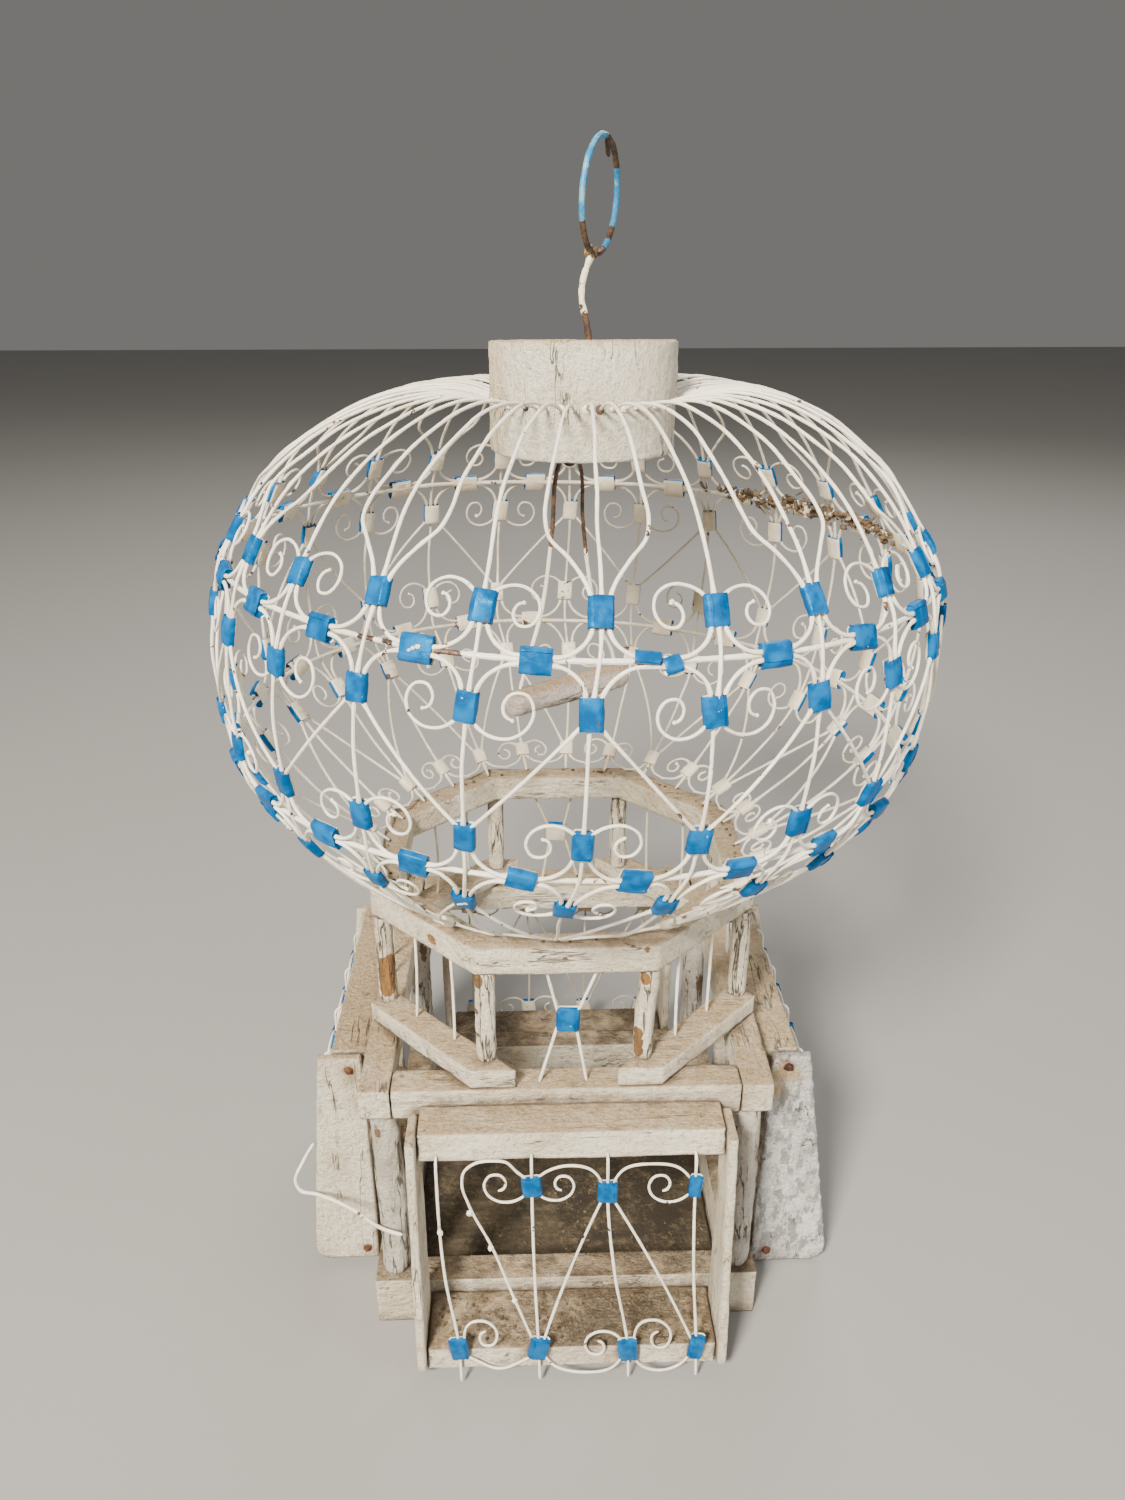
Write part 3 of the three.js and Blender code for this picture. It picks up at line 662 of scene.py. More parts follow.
def rib_line(rib, end=DOME_LENGTH, across=0.0):
    """Points down the dome beside a rib, about 14 mm apart."""
    count = max(2, round(end / 14))
    return [dome(rib * RIB_STEP + across, end * i / count) for i in range(count + 1)]


def clip_frame(rib, level):
    """The place of a clip, and the directions across it, outward and down."""
    place = beside(rib, level, 0, 0)
    across = (beside(rib, level, 1, 0) - beside(rib, level, -1, 0)).normalized()
    down = (beside(rib, level, 0, 1) - beside(rib, level, 0, -1)).normalized()
    return place, across, down.cross(across), down


MISSING_E_CLIPS = (-1, 0, 1)  # here the wires end bare on the ring
TORN_CLIP = 0.5  # this clip of the upper hoop is torn open
OUTER_BEND = 25  # how far above its clip a triple rib's outer wire bends
every_rib = range(-RIBS // 2, RIBS // 2)

clip_places = []
for rib in every_rib:
    for level in "ABCDE":
        if level != "E" or rib not in MISSING_E_CLIPS:
            clip_places.append(beside(rib, level, 0, 0))
    for level in ("upper_hoop", "lower_hoop"):
        clip_places.append(beside(rib + 0.5, level, 0, 0))
# Paint has gathered on the wires round the clips.
clip_tree = kdtree.KDTree(len(clip_places))
for index, place in enumerate(clip_places):
    clip_tree.insert(place, index)
clip_tree.balance()

ribs = bmesh.new()
for rib in every_rib:
    add_tube(ribs, [wobbled(p, 0.9, rib) for p in rib_line(rib)])
    if rib % 2 == 0:
        for side in (-1, 1):
            bend = LEVEL["A"] - OUTER_BEND + 3 * noise.noise(Vector((rib * 1.7, side, 0)))
            line = rib_line(rib, bend - 6, side * RIB_STEP / 2)
            line.append(dome(rib * RIB_STEP + side * (RIB_STEP / 2 - 0.5), bend))
            line += [beside(rib, "A", side * u, v) for u, v in ((10, -17), (4.4, -8.5), (2.4, -3))]
            add_tube(ribs, [wobbled(p, 0.9, rib + side) for p in line])
dome_nodes = [f"dome_panel_{number}" for number in range(1, 7)]
make_wires(ribs, "dome_ribs", nodes=dome_nodes)

braces = bmesh.new()
for rib in every_rib:
    level, lower = ("D", "E") if rib % 2 else ("B", "C")
    for side in (-1, 1):
        start = beside(rib, level, side * 2.4, 3.5)
        middle = beside(rib + side * 0.5, level, 0, (LEVEL[lower] - LEVEL[level]) * 0.5)
        end = beside(rib + side, lower, -side * 2.4, -4)
        add_tube(braces, [start, wobbled(middle, 1.5, rib), end], BRACE_RADIUS)
make_wires(braces, "dome_braces")

swags = bmesh.new()
for rib in every_rib:
    add_swag(swags, rib, "A", "upper_hoop", True)
    add_swag(swags, rib, "upper_hoop", "B", False)
    add_swag(swags, rib, "C", "lower_hoop", True)
    add_swag(swags, rib, "lower_hoop", "D", False)
make_wires(swags, "dome_swags")

scrolls = bmesh.new()
for rib in every_rib:
    if rib % 2:
        add_scrolls(scrolls, rib, "A", "above", 0.89)
        add_scrolls(scrolls, rib, "B", "below", 0.92)
        if rib not in MISSING_E_CLIPS:
            add_scrolls(scrolls, rib, "E", "above", 0.6)
    else:
        add_scrolls(scrolls, rib, "C", "above", 0.84)
        add_scrolls(scrolls, rib, "D", "below", 0.85)
make_wires(scrolls, "dome_scrolls")

# Thin wire loops lie on the ring under the lowest clips.
garlands = bmesh.new()
for rib in every_rib:
    shape = [(1.5, 3), (5, 7.5), (12, 9.6)]
    points = [beside(rib, "E", u, v) for u, v in shape]
    points += [beside(rib + 1, "E", -u, v) for u, v in reversed(shape)]
    for point in points:
        point.z = max(point.z, RING_TOP + 1.3)
    add_tube(garlands, [wobbled(p, 1.2, rib) for p in points], SCROLL_RADIUS, 7, 1.8)
make_wires(garlands, "ring_garlands")


def hoop_rusty(place):
    """Paint has gone from two short stretches at the front left of the upper hoop."""
    degrees = math.degrees(math.atan2(place.x, -place.y))
    near = min(abs(degrees + 28), abs(degrees + 15.5))
    upper = place.z > 330
    return 0.3 * (1 - smoothstep(near, 1.3, 2.2)) if upper else 0.0


def add_hoop(name, level, node):
    bm = bmesh.new()
    points = [dome(rib * RIB_STEP, LEVEL[level], 1.3) for rib in every_rib]
    line = [wobbled(p, 0.8, 5) for p in points]
    add_tube(bm, line, HOOP_RADIUS, 8, 2, closed=True, value=("chipped", hoop_rusty))
    make_piece(bm, name, [hoop_wire], "cage", (node,))


add_hoop("upper_hoop_wire", "upper_hoop", "upper_hoop")
add_hoop("lower_hoop_wire", "lower_hoop", "lower_hoop")

# Width and height of the clips on the ribs.
CLIP_SIZE = {"A": (7.9, 10.4), "B": (7.9, 10.4), "C": (7.9, 10.4), "D": (7.9, 9.6), "E": (6.8, 8)}
clips = bmesh.new()
for rib in every_rib:
    for level, (width, height) in CLIP_SIZE.items():
        if level == "E" and rib in MISSING_E_CLIPS:
            continue
        place, across, out, down = clip_frame(rib, level)
        seed = hash_of(level, rib)
        add_clip(clips, place - out * 0.3, across, out, width, height, 3.6, seed, bare=level == "E")
    for level in ("upper_hoop", "lower_hoop"):
        if level == "upper_hoop" and rib + 0.5 == TORN_CLIP:
            continue
        place, across, out, down = clip_frame(rib + 0.5, level)
        seed = hash_of(level, rib)
        add_clip(clips, place - out * 0.7, down, out, 9.0, 11.0, 3.8, seed, turn=180 * (rib % 2))
# The torn clip is two scraps of tin with the bare wire between them.
for shift, rise, width, length, spin in ((-4.8, 1.9, 4.2, 8.4, 2), (3.4, -0.6, 5.6, 5.4, 24)):
    place, across, out, down = clip_frame(TORN_CLIP + math.degrees(shift / 150) / RIB_STEP, "upper_hoop")
    place += out * 0.6 - down * rise
    add_clip(clips, place, down, out, width, length, 3.4, 77 + int(shift), turn=spin)
make_clips(clips, "dome_clips")

# Two clips have lost flakes of blue, down to the pale coat: how far across and down, and the size.
FLAKES = ((1.2, -0.6, 1.15), (-0.3, 0.1, 0.95), (-1.5, 0.9, 0.8))
flakes = bmesh.new()
for rib, level in ((-1.5, "upper_hoop"), (-1, "D")):
    place, across, out, down = clip_frame(rib, level)
    turn_to_face = Matrix((across, down, out)).transposed()
    for shift, drop, size in FLAKES:
        for vertex in add_lump(flakes, (0, 0, 0), (size, size * 0.8, 0.55), size):
            vertex.co = place + turn_to_face @ (vertex.co + Vector((shift, drop, 1.75)))
make_piece(flakes, "clip_flakes", [pale_tin], "cage", ())


# ------------------------------------------------------------------ worn wood from the CAD solids
def worn_mesh(node, voxel=1.5, wobble=0.3, grain=(1, 1, 1), seed=0):
    """The node's shape with rounded, uneven surfaces."""
    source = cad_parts[node]
    copy = bpy.data.objects.new(node + "_blank", source.data.copy())
    bpy.context.scene.collection.objects.link(copy)
    copy.matrix_world = source.matrix_world
    remesh = copy.modifiers.new("remesh", "REMESH")
    remesh.mode = "VOXEL"
    remesh.voxel_size = voxel * MM
    remesh.use_smooth_shade = True
    evaluated = copy.evaluated_get(bpy.context.evaluated_depsgraph_get())
    mesh = bpy.data.meshes.new_from_object(evaluated)
    blank = copy.data
    bpy.data.objects.remove(copy)
    bpy.data.meshes.remove(blank)
    mesh.materials.clear()
    shift = Vector((seed * 7.3, seed * 3.7, seed))
    stretch = Vector(grain)
    normals = [vertex.normal.copy() for vertex in mesh.vertices]
    for vertex, normal in zip(mesh.vertices, normals):
        at = vertex.co / MM + shift
        long = at * stretch
        push = noise.noise(at / 23) * wobble + noise.noise(long / 3.5) * wobble * 0.55
        push += noise.noise(at / 5) * wobble * 0.35 - wobble * 0.4
        vertex.co += normal * push * MM
        vertex.co.z = max(vertex.co.z, 0.0)  # nothing goes below the floor
    return mesh


def add_worn(node, material, grain, voxel=1.5, wobble=0.3, slot="white_wood", **marks):
    """A worn piece in place of a CAD node. Marks are named lists of (place, radius, strength)."""
    mesh = worn_mesh(node, voxel, wobble, grain, hash_of(node) % 50)
    for name, spots in marks.items():
        values = []
        for vertex in mesh.vertices:
            at = vertex.co / MM
            amount = 0.0
            for place, radius, strength in spots:
                near = (at - Vector(place)).length / radius
                amount = max(amount, strength * math.exp(-near * near))
            values.append(amount)
        mesh.attributes.new(name, "FLOAT", "POINT").data.foreach_set("value", values)
    return place_piece(mesh, node + "_wood", [material], "cage", (node,))


# The block's top edge and its left side have turned tan.
block_x = lean_at(CROWN_HEIGHT)
tanned = []
for bearing in range(0, 360, 8):
    angle = math.radians(bearing)
    foot = Vector((block_x + BLOCK_RADIUS * math.sin(angle), -BLOCK_RADIUS * math.cos(angle), 0))
    tanned.append((foot + Vector((0, 0, BLOCK_TOP)), 2.6, 0.75))
    if 256 < bearing < 304:
        tanned += [(foot + Vector((0, 0, height)), 8, 0.42) for height in range(405, 448, 8)]
add_worn("top_block", wood_block, (1, 1, 1), voxel=1.3, wobble=0.45, yellow=tanned)

ring_peels = [
    ((-37, -86, 201), 6, 0.24),
    ((37, -86, 200), 5, 0.2),
    ((24, -88, 205.5), 2.4, 0.28),
    ((-22, -88, 204), 2.2, 0.28),
    ((34, -88, 212), 3, 0.25),
    ((-58, -68, 206), 4, 0.25),
]
add_worn("octagon_ring", wood_along_x, (0.3, 0.3, 1), wobble=0.4, peel=ring_peels)
for corner in ("front_left", "front_right", "back_left", "back_right"):
    add_worn("diagonal_bar_" + corner, wood_along_x, (0.5, 0.5, 1), wobble=0.4)
for side in ("front", "back"):
    add_worn("top_rail_" + side, wood_along_x, (0.1, 1, 1))
for side in ("left", "right"):
    add_worn("top_rail_" + side, wood_along_y, (1, 0.1, 1))
add_worn("base_frame", wood_dirty_x, (0.3, 0.3, 1), voxel=1.7)
add_worn("floor_board", floor_dirt, (0.1, 1, 1), voxel=1.9, wobble=0.5, slot="bare_wood")

# The grille's top wires hang at one edge, and its feet stand further out: (out, height).
GRILLE_TOP = (115.2, 125.5)
GRILLE_FOOT = (127, 3.5)
GRILLE_HIGH = 106  # height of the upper clips

# Each box faces a side. The right one has been pushed out of true.
BOXES = [
    {"name": "front", "turn": 0, "half": 71, "shift": 1.5, "column": 36.5, "low_clip": 20},
    {"name": "right", "turn": 90, "half": 67, "shift": 4, "column": 34, "low_clip": 36},
    {"name": "back", "turn": 180, "half": 71, "shift": 0, "column": 36.5, "low_clip": 20},
    {"name": "left", "turn": -90, "half": 67, "shift": -8, "column": 34, "low_clip": 36},
]
FLARE = {"right": 6.8}  # how much further out its feet stand

# The nails in a side panel: out, height, and size of the rust stain.
NAILS = ((101.5, 127, 3.4), (101, 12.5, 2.6))
PUSHED_NAILS = ((105.5, 127.5, 3.4), (103.6, 9, 2.6))
# The yellow patch where rust water has run from one nail: across, down and size.
RUST_RUN = ((-2, -1, 4.5), (-5, -6, 6), (-6, -13, 6), (-3, -4, 6), (3, -5, 4))


def turned(point, turn):
    """A point of the front box, turned to another side."""
    return Matrix.Rotation(math.radians(turn), 3, "Z") @ Vector(point)


nails = bmesh.new()
for box in BOXES:
    name = box["name"]
    turn = box["turn"]
    lengthwise = turn % 180 == 0
    clean, dirty = (wood_along_x, wood_dirty_x) if lengthwise else (wood_along_y, wood_dirty_y)
    grain = (0.1, 1, 1) if lengthwise else (1, 0.1, 1)
    add_worn(name + "_box_top_board", wood_tan_y if name == "left" else clean, grain, wobble=0.35)
    add_worn(name + "_box_bottom_board", dirty, grain, wobble=0.35)
    pushed = name in FLARE
    for number, side in ((1, -1), (2, 1)):
        marks = {"stain": []}
        for out, height, size in PUSHED_NAILS if pushed else NAILS:
            place = turned((box["shift"] + side * box["half"], -out, height), turn)
            marks["stain"] += [(place, size, 1.0), (place + Vector((0, 0, -4)), size * 1.4, 0.4)]
            head = 2.5 if pushed else 2.3
            add_lump(nails, place, (head, head, head), hash_of(name, number, height))
            if pushed and number == 1 and height > 100:
                marks["yellow"] = [(place + Vector((x, 0, z)), spread, 0.75) for x, z, spread in RUST_RUN]
        panel = wood_mottled if pushed and number == 1 else wood_along_z
        add_worn(f"{name}_box_panel_{number}", panel, (1, 1, 0.1), **marks)
make_piece(nails, "nails", [rust], "cage", ())


# ------------------------------------------------------------------ sticks and posts
def add_stick(
    name, node, place, ends, radius, material, rough, seed, lean=(0, 0), peels=()
):
    """A stick cut from a branch: not quite round or straight, with knots."""
    chance = random.Random(seed)
    low, high = ends
    sides = 24
    rows = max(8, round((high - low) / 1.6))
    bm = bmesh.new()
    peel = bm.verts.layers.float.new("peel")
    knots = [(chance.uniform(0.1, 0.9), chance.uniform(0, 6.28)) for _ in range(3)]
    rings = []
    for row in range(rows + 1):
        t = row / rows
        z = low + (high - low) * t
        bow = math.sin(math.pi * t)
        cx = place[0] + lean[0] * (t - 0.5) + bow * 0.8 * math.sin(seed)
        cy = place[1] + lean[1] * (t - 0.5) + bow * 0.8 * math.cos(seed)
        ring = []
        for corner in range(sides):
            angle = 2 * math.pi * corner / sides
            around = Vector((math.cos(angle) * 1.3, math.sin(angle) * 1.3, z * 0.03 + seed * 5))
            fine = Vector((math.cos(angle) * 4, math.sin(angle) * 4, z * 0.16 + seed))
            size = radius * (1 + rough * noise.noise(around))
            size += rough * radius * 0.5 * noise.noise(fine)
            for height, bearing in knots:
                away = ((t - height) * (high - low) / 4) ** 2 + (math.sin((angle - bearing) / 2) * 3.4) ** 2
                size += rough * radius * 0.9 * math.exp(-away)
            if row in (0, rows):
                size *= 0.94
            vertex = bm.verts.new((cx + size * math.cos(angle), cy + size * math.sin(angle), z))
            for at, spread, strength in peels:
                near = (vertex.co - Vector(at)).length / spread
                vertex[peel] = max(vertex[peel], strength * math.exp(-near * near))
            ring.append(vertex)
        rings.append(ring)
    join_rings(bm, rings)
    make_piece(bm, name, [material], "cage", (node,))


# Patches without paint on the neck's posts.
SIDE_PEELS = {"front_left": [((-82.7, -43.3, z), 3.9, 0.42) for z in (161, 166, 171, 175)]}
END_PEELS = {
    "front_left": [
        ((-38.6, -86, 196.5), 3.6, 0.42),
        ((-39, -85, 180), 3, 0.25),
        ((-39, -85, 168), 3.5, 0.28),
    ],
    "front_right": [((30.8, -86, z), 3.2, 0.36) for z in (158, 163, 168)] + [((33, -87, 196), 3, 0.3)],
}
NECK_ENDS = (NECK_LOW, NECK_HIGH)
CORNERS = [("front_left", -1, -1), ("front_right", 1, -1), ("back_right", 1, 1), ("back_left", -1, 1)]
for index, (corner, sx, sy) in enumerate(CORNERS):
    add_stick(
        f"corner_stick_{corner}", f"corner_post_{corner}", (sx * 82.5, sy * 82.5), (27.6, 126.9), 6.5,
        wood_sticks, 0.16, index + 2,
    )
    add_stick(
        f"neck_stick_{corner}_side", f"round_post_{corner}_side", (sx * 83, sy * 39), NECK_ENDS, 4.3,
        wood_posts, 0.09, index + 12, peels=SIDE_PEELS.get(corner, ()),
    )
    lean = (2.2, 0) if corner == "front_right" else (0.4, 0)
    add_stick(
        f"neck_stick_{corner}_end", f"round_post_{corner}_end", (sx * 35, sy * 83), NECK_ENDS, 4.3,
        wood_posts, 0.11, index + 22, lean, peels=END_PEELS.get(corner, ()),
    )


# ------------------------------------------------------------------ grilles
def grille_point(box, x, height, proud=0.0):
    """A point of a box's grille: along it, its height, and how far it stands out of the wires' plane."""
    along = (GRILLE_TOP[1] - height) / (GRILLE_TOP[1] - GRILLE_FOOT[1])
    slant = GRILLE_FOOT[0] + FLARE.get(box["name"], 0) - GRILLE_TOP[0]
    return turned((box["shift"] + x, -(GRILLE_TOP[0] + slant * along + proud), height), box["turn"])


def add_grille_clip(bm, box, x, height, width, seed, tall=10):
    across = turned((1, 0, 0), box["turn"])
    out = turned((0, -1, 0), box["turn"])
    spin = random.Random(seed).uniform(-6, 6)
    add_clip(bm, grille_point(box, x, height, 0.3), across, out, width, tall, 3.2, seed, turn=spin)


def add_grille_scroll(bm, box, place, side, kind, size, seed, tall=1.0, lift=0.0):
    x, height = place
    points = []
    for step, (u, v) in enumerate(scroll_points(kind, side, size, seed)):
        points.append(grille_point(box, x + u, height - v * tall + (lift if step else 0), 0.2))
    add_tube(bm, points, SCROLL_RADIUS, 7, 1.4)


# How far the clips of the bent front grille sit from even rows: (sideways, up).
BENT_TOPS = [(-3.4, 4), (0.9, 5.5), (-2.9, 2), (-1.5, 4)]
BENT_FEET = [(3.3, 3), (2.9, 2), (7.1, 0), (1.9, 1)]
EVEN_ROW = [(0, 0)] * 4


def clip_row(columns, height, shifts):
    return [(x + across, height + up) for x, (across, up) in zip(columns, shifts)]


def loose_arch(right, right_z, crest, low):
    """This arch has sprung from its lost clip, and hangs down as a loose wire."""
    points = [(right - 2.6, right_z + 4), (right - 6, crest - 3), (right - 11, crest + 2.4)]
    points += [(right - 17, crest + 3.2), (-40.5, 124), (-46.2, 119.5), (-47.3, 113), (-44.6, 102)]
    return points + [(-35.5, 80), (-25.5, 49), (-17.5, low + 5)]


def make_grille(box, body, broken=False):
    """Upright wires, arches and fans between two rows of clips. A broken one has lost its first clip."""
    columns = [box["column"] * place for place in (-1.5, -0.5, 0.5, 1.5)]
    high, low = GRILLE_HIGH, box["low_clip"]
    seed = hash_of(box["name"])
    tops = clip_row(columns, high, BENT_TOPS if broken else EVEN_ROW)
    feet = clip_row(columns, low, BENT_FEET if broken else EVEN_ROW)
    wires = bmesh.new()
    tins = bmesh.new()
    for index, ((top_x, top_z), (foot_x, foot_z)) in enumerate(zip(tops, feet)):
        clipped = not (broken and index == 0)
        narrow = broken and index == 3
        swing = rng.uniform(-0.9, 0.9)
        path = [(top_x, 125.8, -2.2), (top_x, 124.2, -0.3), (top_x, 115, 0)]
        if clipped:
            path.append((top_x, top_z, 0))
        path.append((0.72 * top_x + 0.28 * foot_x + swing, (high + low) / 2, 0))
        path += [(foot_x, foot_z, 0), (foot_x + 0.4, 3.6, 0)]
        add_tube(wires, [grille_point(box, *point) for point in path], GRILLE_RADIUS)
        add_grille_clip(tins, box, foot_x, foot_z, 6.4 if narrow else 8.8, seed + index, 12.4)
        if clipped:
            add_grille_clip(tins, box, top_x, top_z, 6.2 if narrow else 8.8, seed + index + 10)
    for bay in range(3):
        loose = broken and bay == 0
        (left, left_z), (right, right_z) = tops[bay], tops[bay + 1]
        crest = 121.5 if broken else high + 12.6
        arch = [(left + 2.6, left_z + 4), (left + 7, crest - 2.5), ((left + right) / 2, crest)]
        arch += [(right - 7, crest - 2.5), (right - 2.6, right_z + 4)]
        if loose:
            arch = loose_arch(right, right_z, crest, low)
            # Spots of old paint on the loose wire and on the first upright.
            for x, z in ((-44.4, 98), (-35.8, 79), (-25.8, 49.5), (-57.6, 88)):
                add_lump(wires, grille_point(box, x, z, 0.3), (1.5, 1.3, 1.7), z)
        add_tube(wires, [grille_point(box, x, z) for x, z in arch], ARCH_RADIUS, 8, 1.6)
        (left, left_z), (right, right_z) = feet[bay], feet[bay + 1]
        droop = 9.5 if loose else 13
        sag = [(left + 2.6, left_z - 4), (left + 7, left_z - droop + 2.5)]
        sag.append(((left + right) / 2, low - droop))
        sag += [(right - 7, right_z - droop + 2.5), (right - 2.6, right_z - 4)]
        add_tube(wires, [grille_point(box, x, z, 0.3) for x, z in sag], SCROLL_RADIUS, 8, 1.6)
    for index, sides in enumerate(((1,), (-1, 1), (-1, 1), (-1,))):
        for side in sides:
            if index % 2:
                add_grille_scroll(wires, box, tops[index], side, "below", 0.88, seed + index * 3 + side)
            else:
                tall, lift = (1.2, 7) if broken and side == 1 else (1.0, 1.5)
                curl_seed = seed + index * 5 + side
                add_grille_scroll(wires, box, feet[index], side, "above", 0.84, curl_seed, tall, lift)
    for start, end in ((0, 1), (2, 1), (2, 3)):
        if broken and start == 0:
            continue
        side = 1 if end > start else -1
        high_x, high_z = tops[start][0] + side * 2.2, tops[start][1] - 4
        low_x, low_z = feet[end][0] - side * 2.4, feet[end][1] + 4
        middle = ((high_x + low_x) / 2 + side * 1.4, (high_z + low_z) / 2)
        line = ((high_x, high_z), middle, (low_x, low_z))
        add_tube(wires, [grille_point(box, x, z, 0.2) for x, z in line], FAN_RADIUS)
    node = box["name"] + "_grille"
    make_wires(wires, node + "_wires", body, (node,))
    make_clips(tins, node + "_clips", body)


for box in BOXES:
    name = box["name"]
    swings = name in ("front", "left")
    make_grille(box, name + "_grille" if swings else "cage", broken=name == "front")

# ------------------------------------------------------------------ wires of the neck
neck_wires = bmesh.new()
neck_clips = bmesh.new()
for turn in (0, 90, 180, 270):
    # Two wires cross in a clip at the middle of each straight side.
    for top, bottom, waist in ((-8.6, -12, -2.9), (13.4, 8.8, 3.6)):
        for end in ((top, -84, RING_BOTTOM), (bottom, -87, FRAME_TOP)):
            line = [turned(point, turn) for point in ((waist, -85, 175), end)]
            add_tube(neck_wires, line, NECK_RADIUS)
    place = turned((0.7, -85, 175), turn)
    across = turned((1, 0, 0), turn)
    out = turned((0, -1, 0), turn)
    add_clip(neck_clips, place, across, out, 10.6, 10.8, 3.4, 60 + turn // 90)
    if turn in (0, 180):
        for x, y in ((67, -54), (50, -71), (-67, -54), (-50, -71)):
            shaky = noise.noise_vector(Vector((x, y, turn))) * 2
            line = [(x, y, RING_BOTTOM), (x + shaky.x, y + shaky.y, 176), (x + shaky.z, y, DIAGONAL_TOP)]
            add_tube(neck_wires, [turned(point, turn) for point in line], NECK_RADIUS)
make_wires(neck_wires, "neck_wires")
make_clips(neck_clips, "neck_clips")

# ------------------------------------------------------------------ crown: hanger, wire ends, swing
shank_x = block_x + 2.2
wire_ends = bmesh.new()
collars = bmesh.new()
for step in range(2 * RIBS):
    # Paint has closed round most of the wires. Some holes have opened, and the dark lump in each is painted
    # shade inside the hole.
    angle = math.radians(step * RIB_STEP / 2)
    direction = Vector((math.sin(angle), -math.cos(angle), 0))
    foot = Vector((block_x, 0, WIRE_HOLES)) + direction * (BLOCK_RADIUS - 1)
    opened = step % 6 == 1
    thick = rng.uniform(1.2, 1.7)
    add_tube(wire_ends if opened else collars, [foot, foot + direction * 1.45], thick, 8, 0.7, lumps=0.5)
make_wires(collars, "paint_collars")
# The old nail hole in the ring is a dark lump, painted shade in the hole.
add_lump(wire_ends, (-0.6, -87.9, 208.4), (1.6, 0.5, 0.95), 4)  # an old nail hole in the ring
make_piece(wire_ends, "wire_holes", [dark_rust], "cage", ())


def shank_painted(place):
    """The shank is painted only above the block."""
    return smoothstep(place.z, 452, 460)


shank = bmesh.new()
shank_line = [
    (shank_x + 1.8, 0, BLOCK_BOTTOM - 2.8),
    (shank_x, 0, BLOCK_BOTTOM - 0.1),
    (shank_x, 0, BLOCK_BOTTOM + 12),
    (shank_x, 0, BLOCK_TOP - 1),
    (shank_x - 1.0, 0, BLOCK_TOP + 5),
    (shank_x - 2.7, 0, 460),
    (shank_x - 2.5, 0, 466),
    (shank_x - 0.4, 0, 473),
    (shank_x + 1.2, 0, 476.5),
]
add_tube(shank, shank_line, 1.25, 10, 1.2, lumps=0.25, value=("painted", shank_painted))
make_piece(shank, "hanger_shank_wire", [shank_white], "hanger", ("hanger_shank",))

ring_foot = Vector((shank_x + 2.5, 0, 476.6))
ring_turn = Matrix.Rotation(math.radians(4.5), 3, "Y") @ Matrix.Rotation(math.radians(68), 3, "Z")
RING_RADIUS = 20.5
PAINTED_ARCS = [(-62, -48), (-30, 34), (86, 208)]  # degrees round the ring from its right-hand side


def ring_point(degrees, inset=0.0):
    """A point of the hanging ring, from its right-hand side round over its top."""
    angle = math.radians(degrees)
    reach = RING_RADIUS - inset
    flat = Vector((math.cos(angle) * reach, 0, RING_RADIUS + math.sin(angle) * reach))
    return ring_foot + ring_turn @ flat


def ring_painted(place):
    flat = ring_turn.transposed() @ (place - ring_foot)
    degrees = math.degrees(math.atan2(flat.z - RING_RADIUS, flat.x))
    turns = (degrees, degrees + 360)
    return 1.0 if any(low < turn < high for low, high in PAINTED_ARCS for turn in turns) else 0.0


loop = bmesh.new()
loop_line = [ring_point(-86 + step * 350 / 24) for step in range(25)]
add_tube(loop, loop_line, 1.2, 10, 1.2, lumps=0.12, value=("painted", ring_painted))
# The wire's tip turns back inside the loop.
add_tube(loop, [ring_point(82, 0.8), ring_point(76, 3.4), ring_point(66, 5.2)], 0.9, 8, 1.0)
make_piece(loop, "hanger_loop", [hanger_blue], "hanger", ("hanger_ring",))

wrap = bmesh.new()
turns = []
for step in range(25):
    angle = math.radians(step * 36)
    along = step / 24
    centre = Vector((shank_x - 1.6, 0.3, 478.2)).lerp(ring_foot + Vector((0.6, 0, 0.2)), along)
    turns.append(centre + Vector((0.5 * math.cos(angle), 1.5 * math.sin(angle), 1.7 * math.cos(angle))))
add_tube(wrap, turns, 0.75, 8, 0.8, lumps=0.3)
make_piece(wrap, "hanger_wrap", [golden_wire], "hanger", ())

swing_turn = Matrix.Rotation(math.radians(35.4), 3, "Z")
swing_at = Vector((block_x - 5.5, 0, 398.6))


def on_swing(along, across, up):
    """A point of the swing from the bend of its wire: along the perch, across it, and up."""
    return swing_at + swing_turn @ Vector((along, across, up))


staple = bmesh.new()
staple_line = [(-4, 3.4), (-4, 1), (-2.8, -1.8), (0, -2.6), (2.8, -1.8), (4, 1), (4, 3.4)]
add_tube(staple, [on_swing(0, y, z) for y, z in staple_line], 1.0, 8, 1, lumps=0.15)
make_piece(staple, "swing_staple_wire", [dark_rust], "cage", ("swing_staple",))


def swing_rusty(place):
    """The swing's wire is bare and dark near the block."""
    return 0.5 * smoothstep(place.z, 350, 376)


bail = bmesh.new()
left_leg = [(-27, -97.5), (-24.5, -90), (-15.5, -66), (-9, -30), (-5.6, -3), (-4.4, -0.3)]
right_leg = [(4.4, -0.3), (5.6, -3), (7.5, -26), (11.2, -52), (17.5, -78), (25, -90), (27, -97.5)]
bail_line = [on_swing(x, 0, z) for x, z in left_leg + right_leg]
add_tube(bail, bail_line, 0.9, 8, 2, value=("chipped", swing_rusty))
make_wires(bail, "swing_bail", "swing", ("swing_wire",))

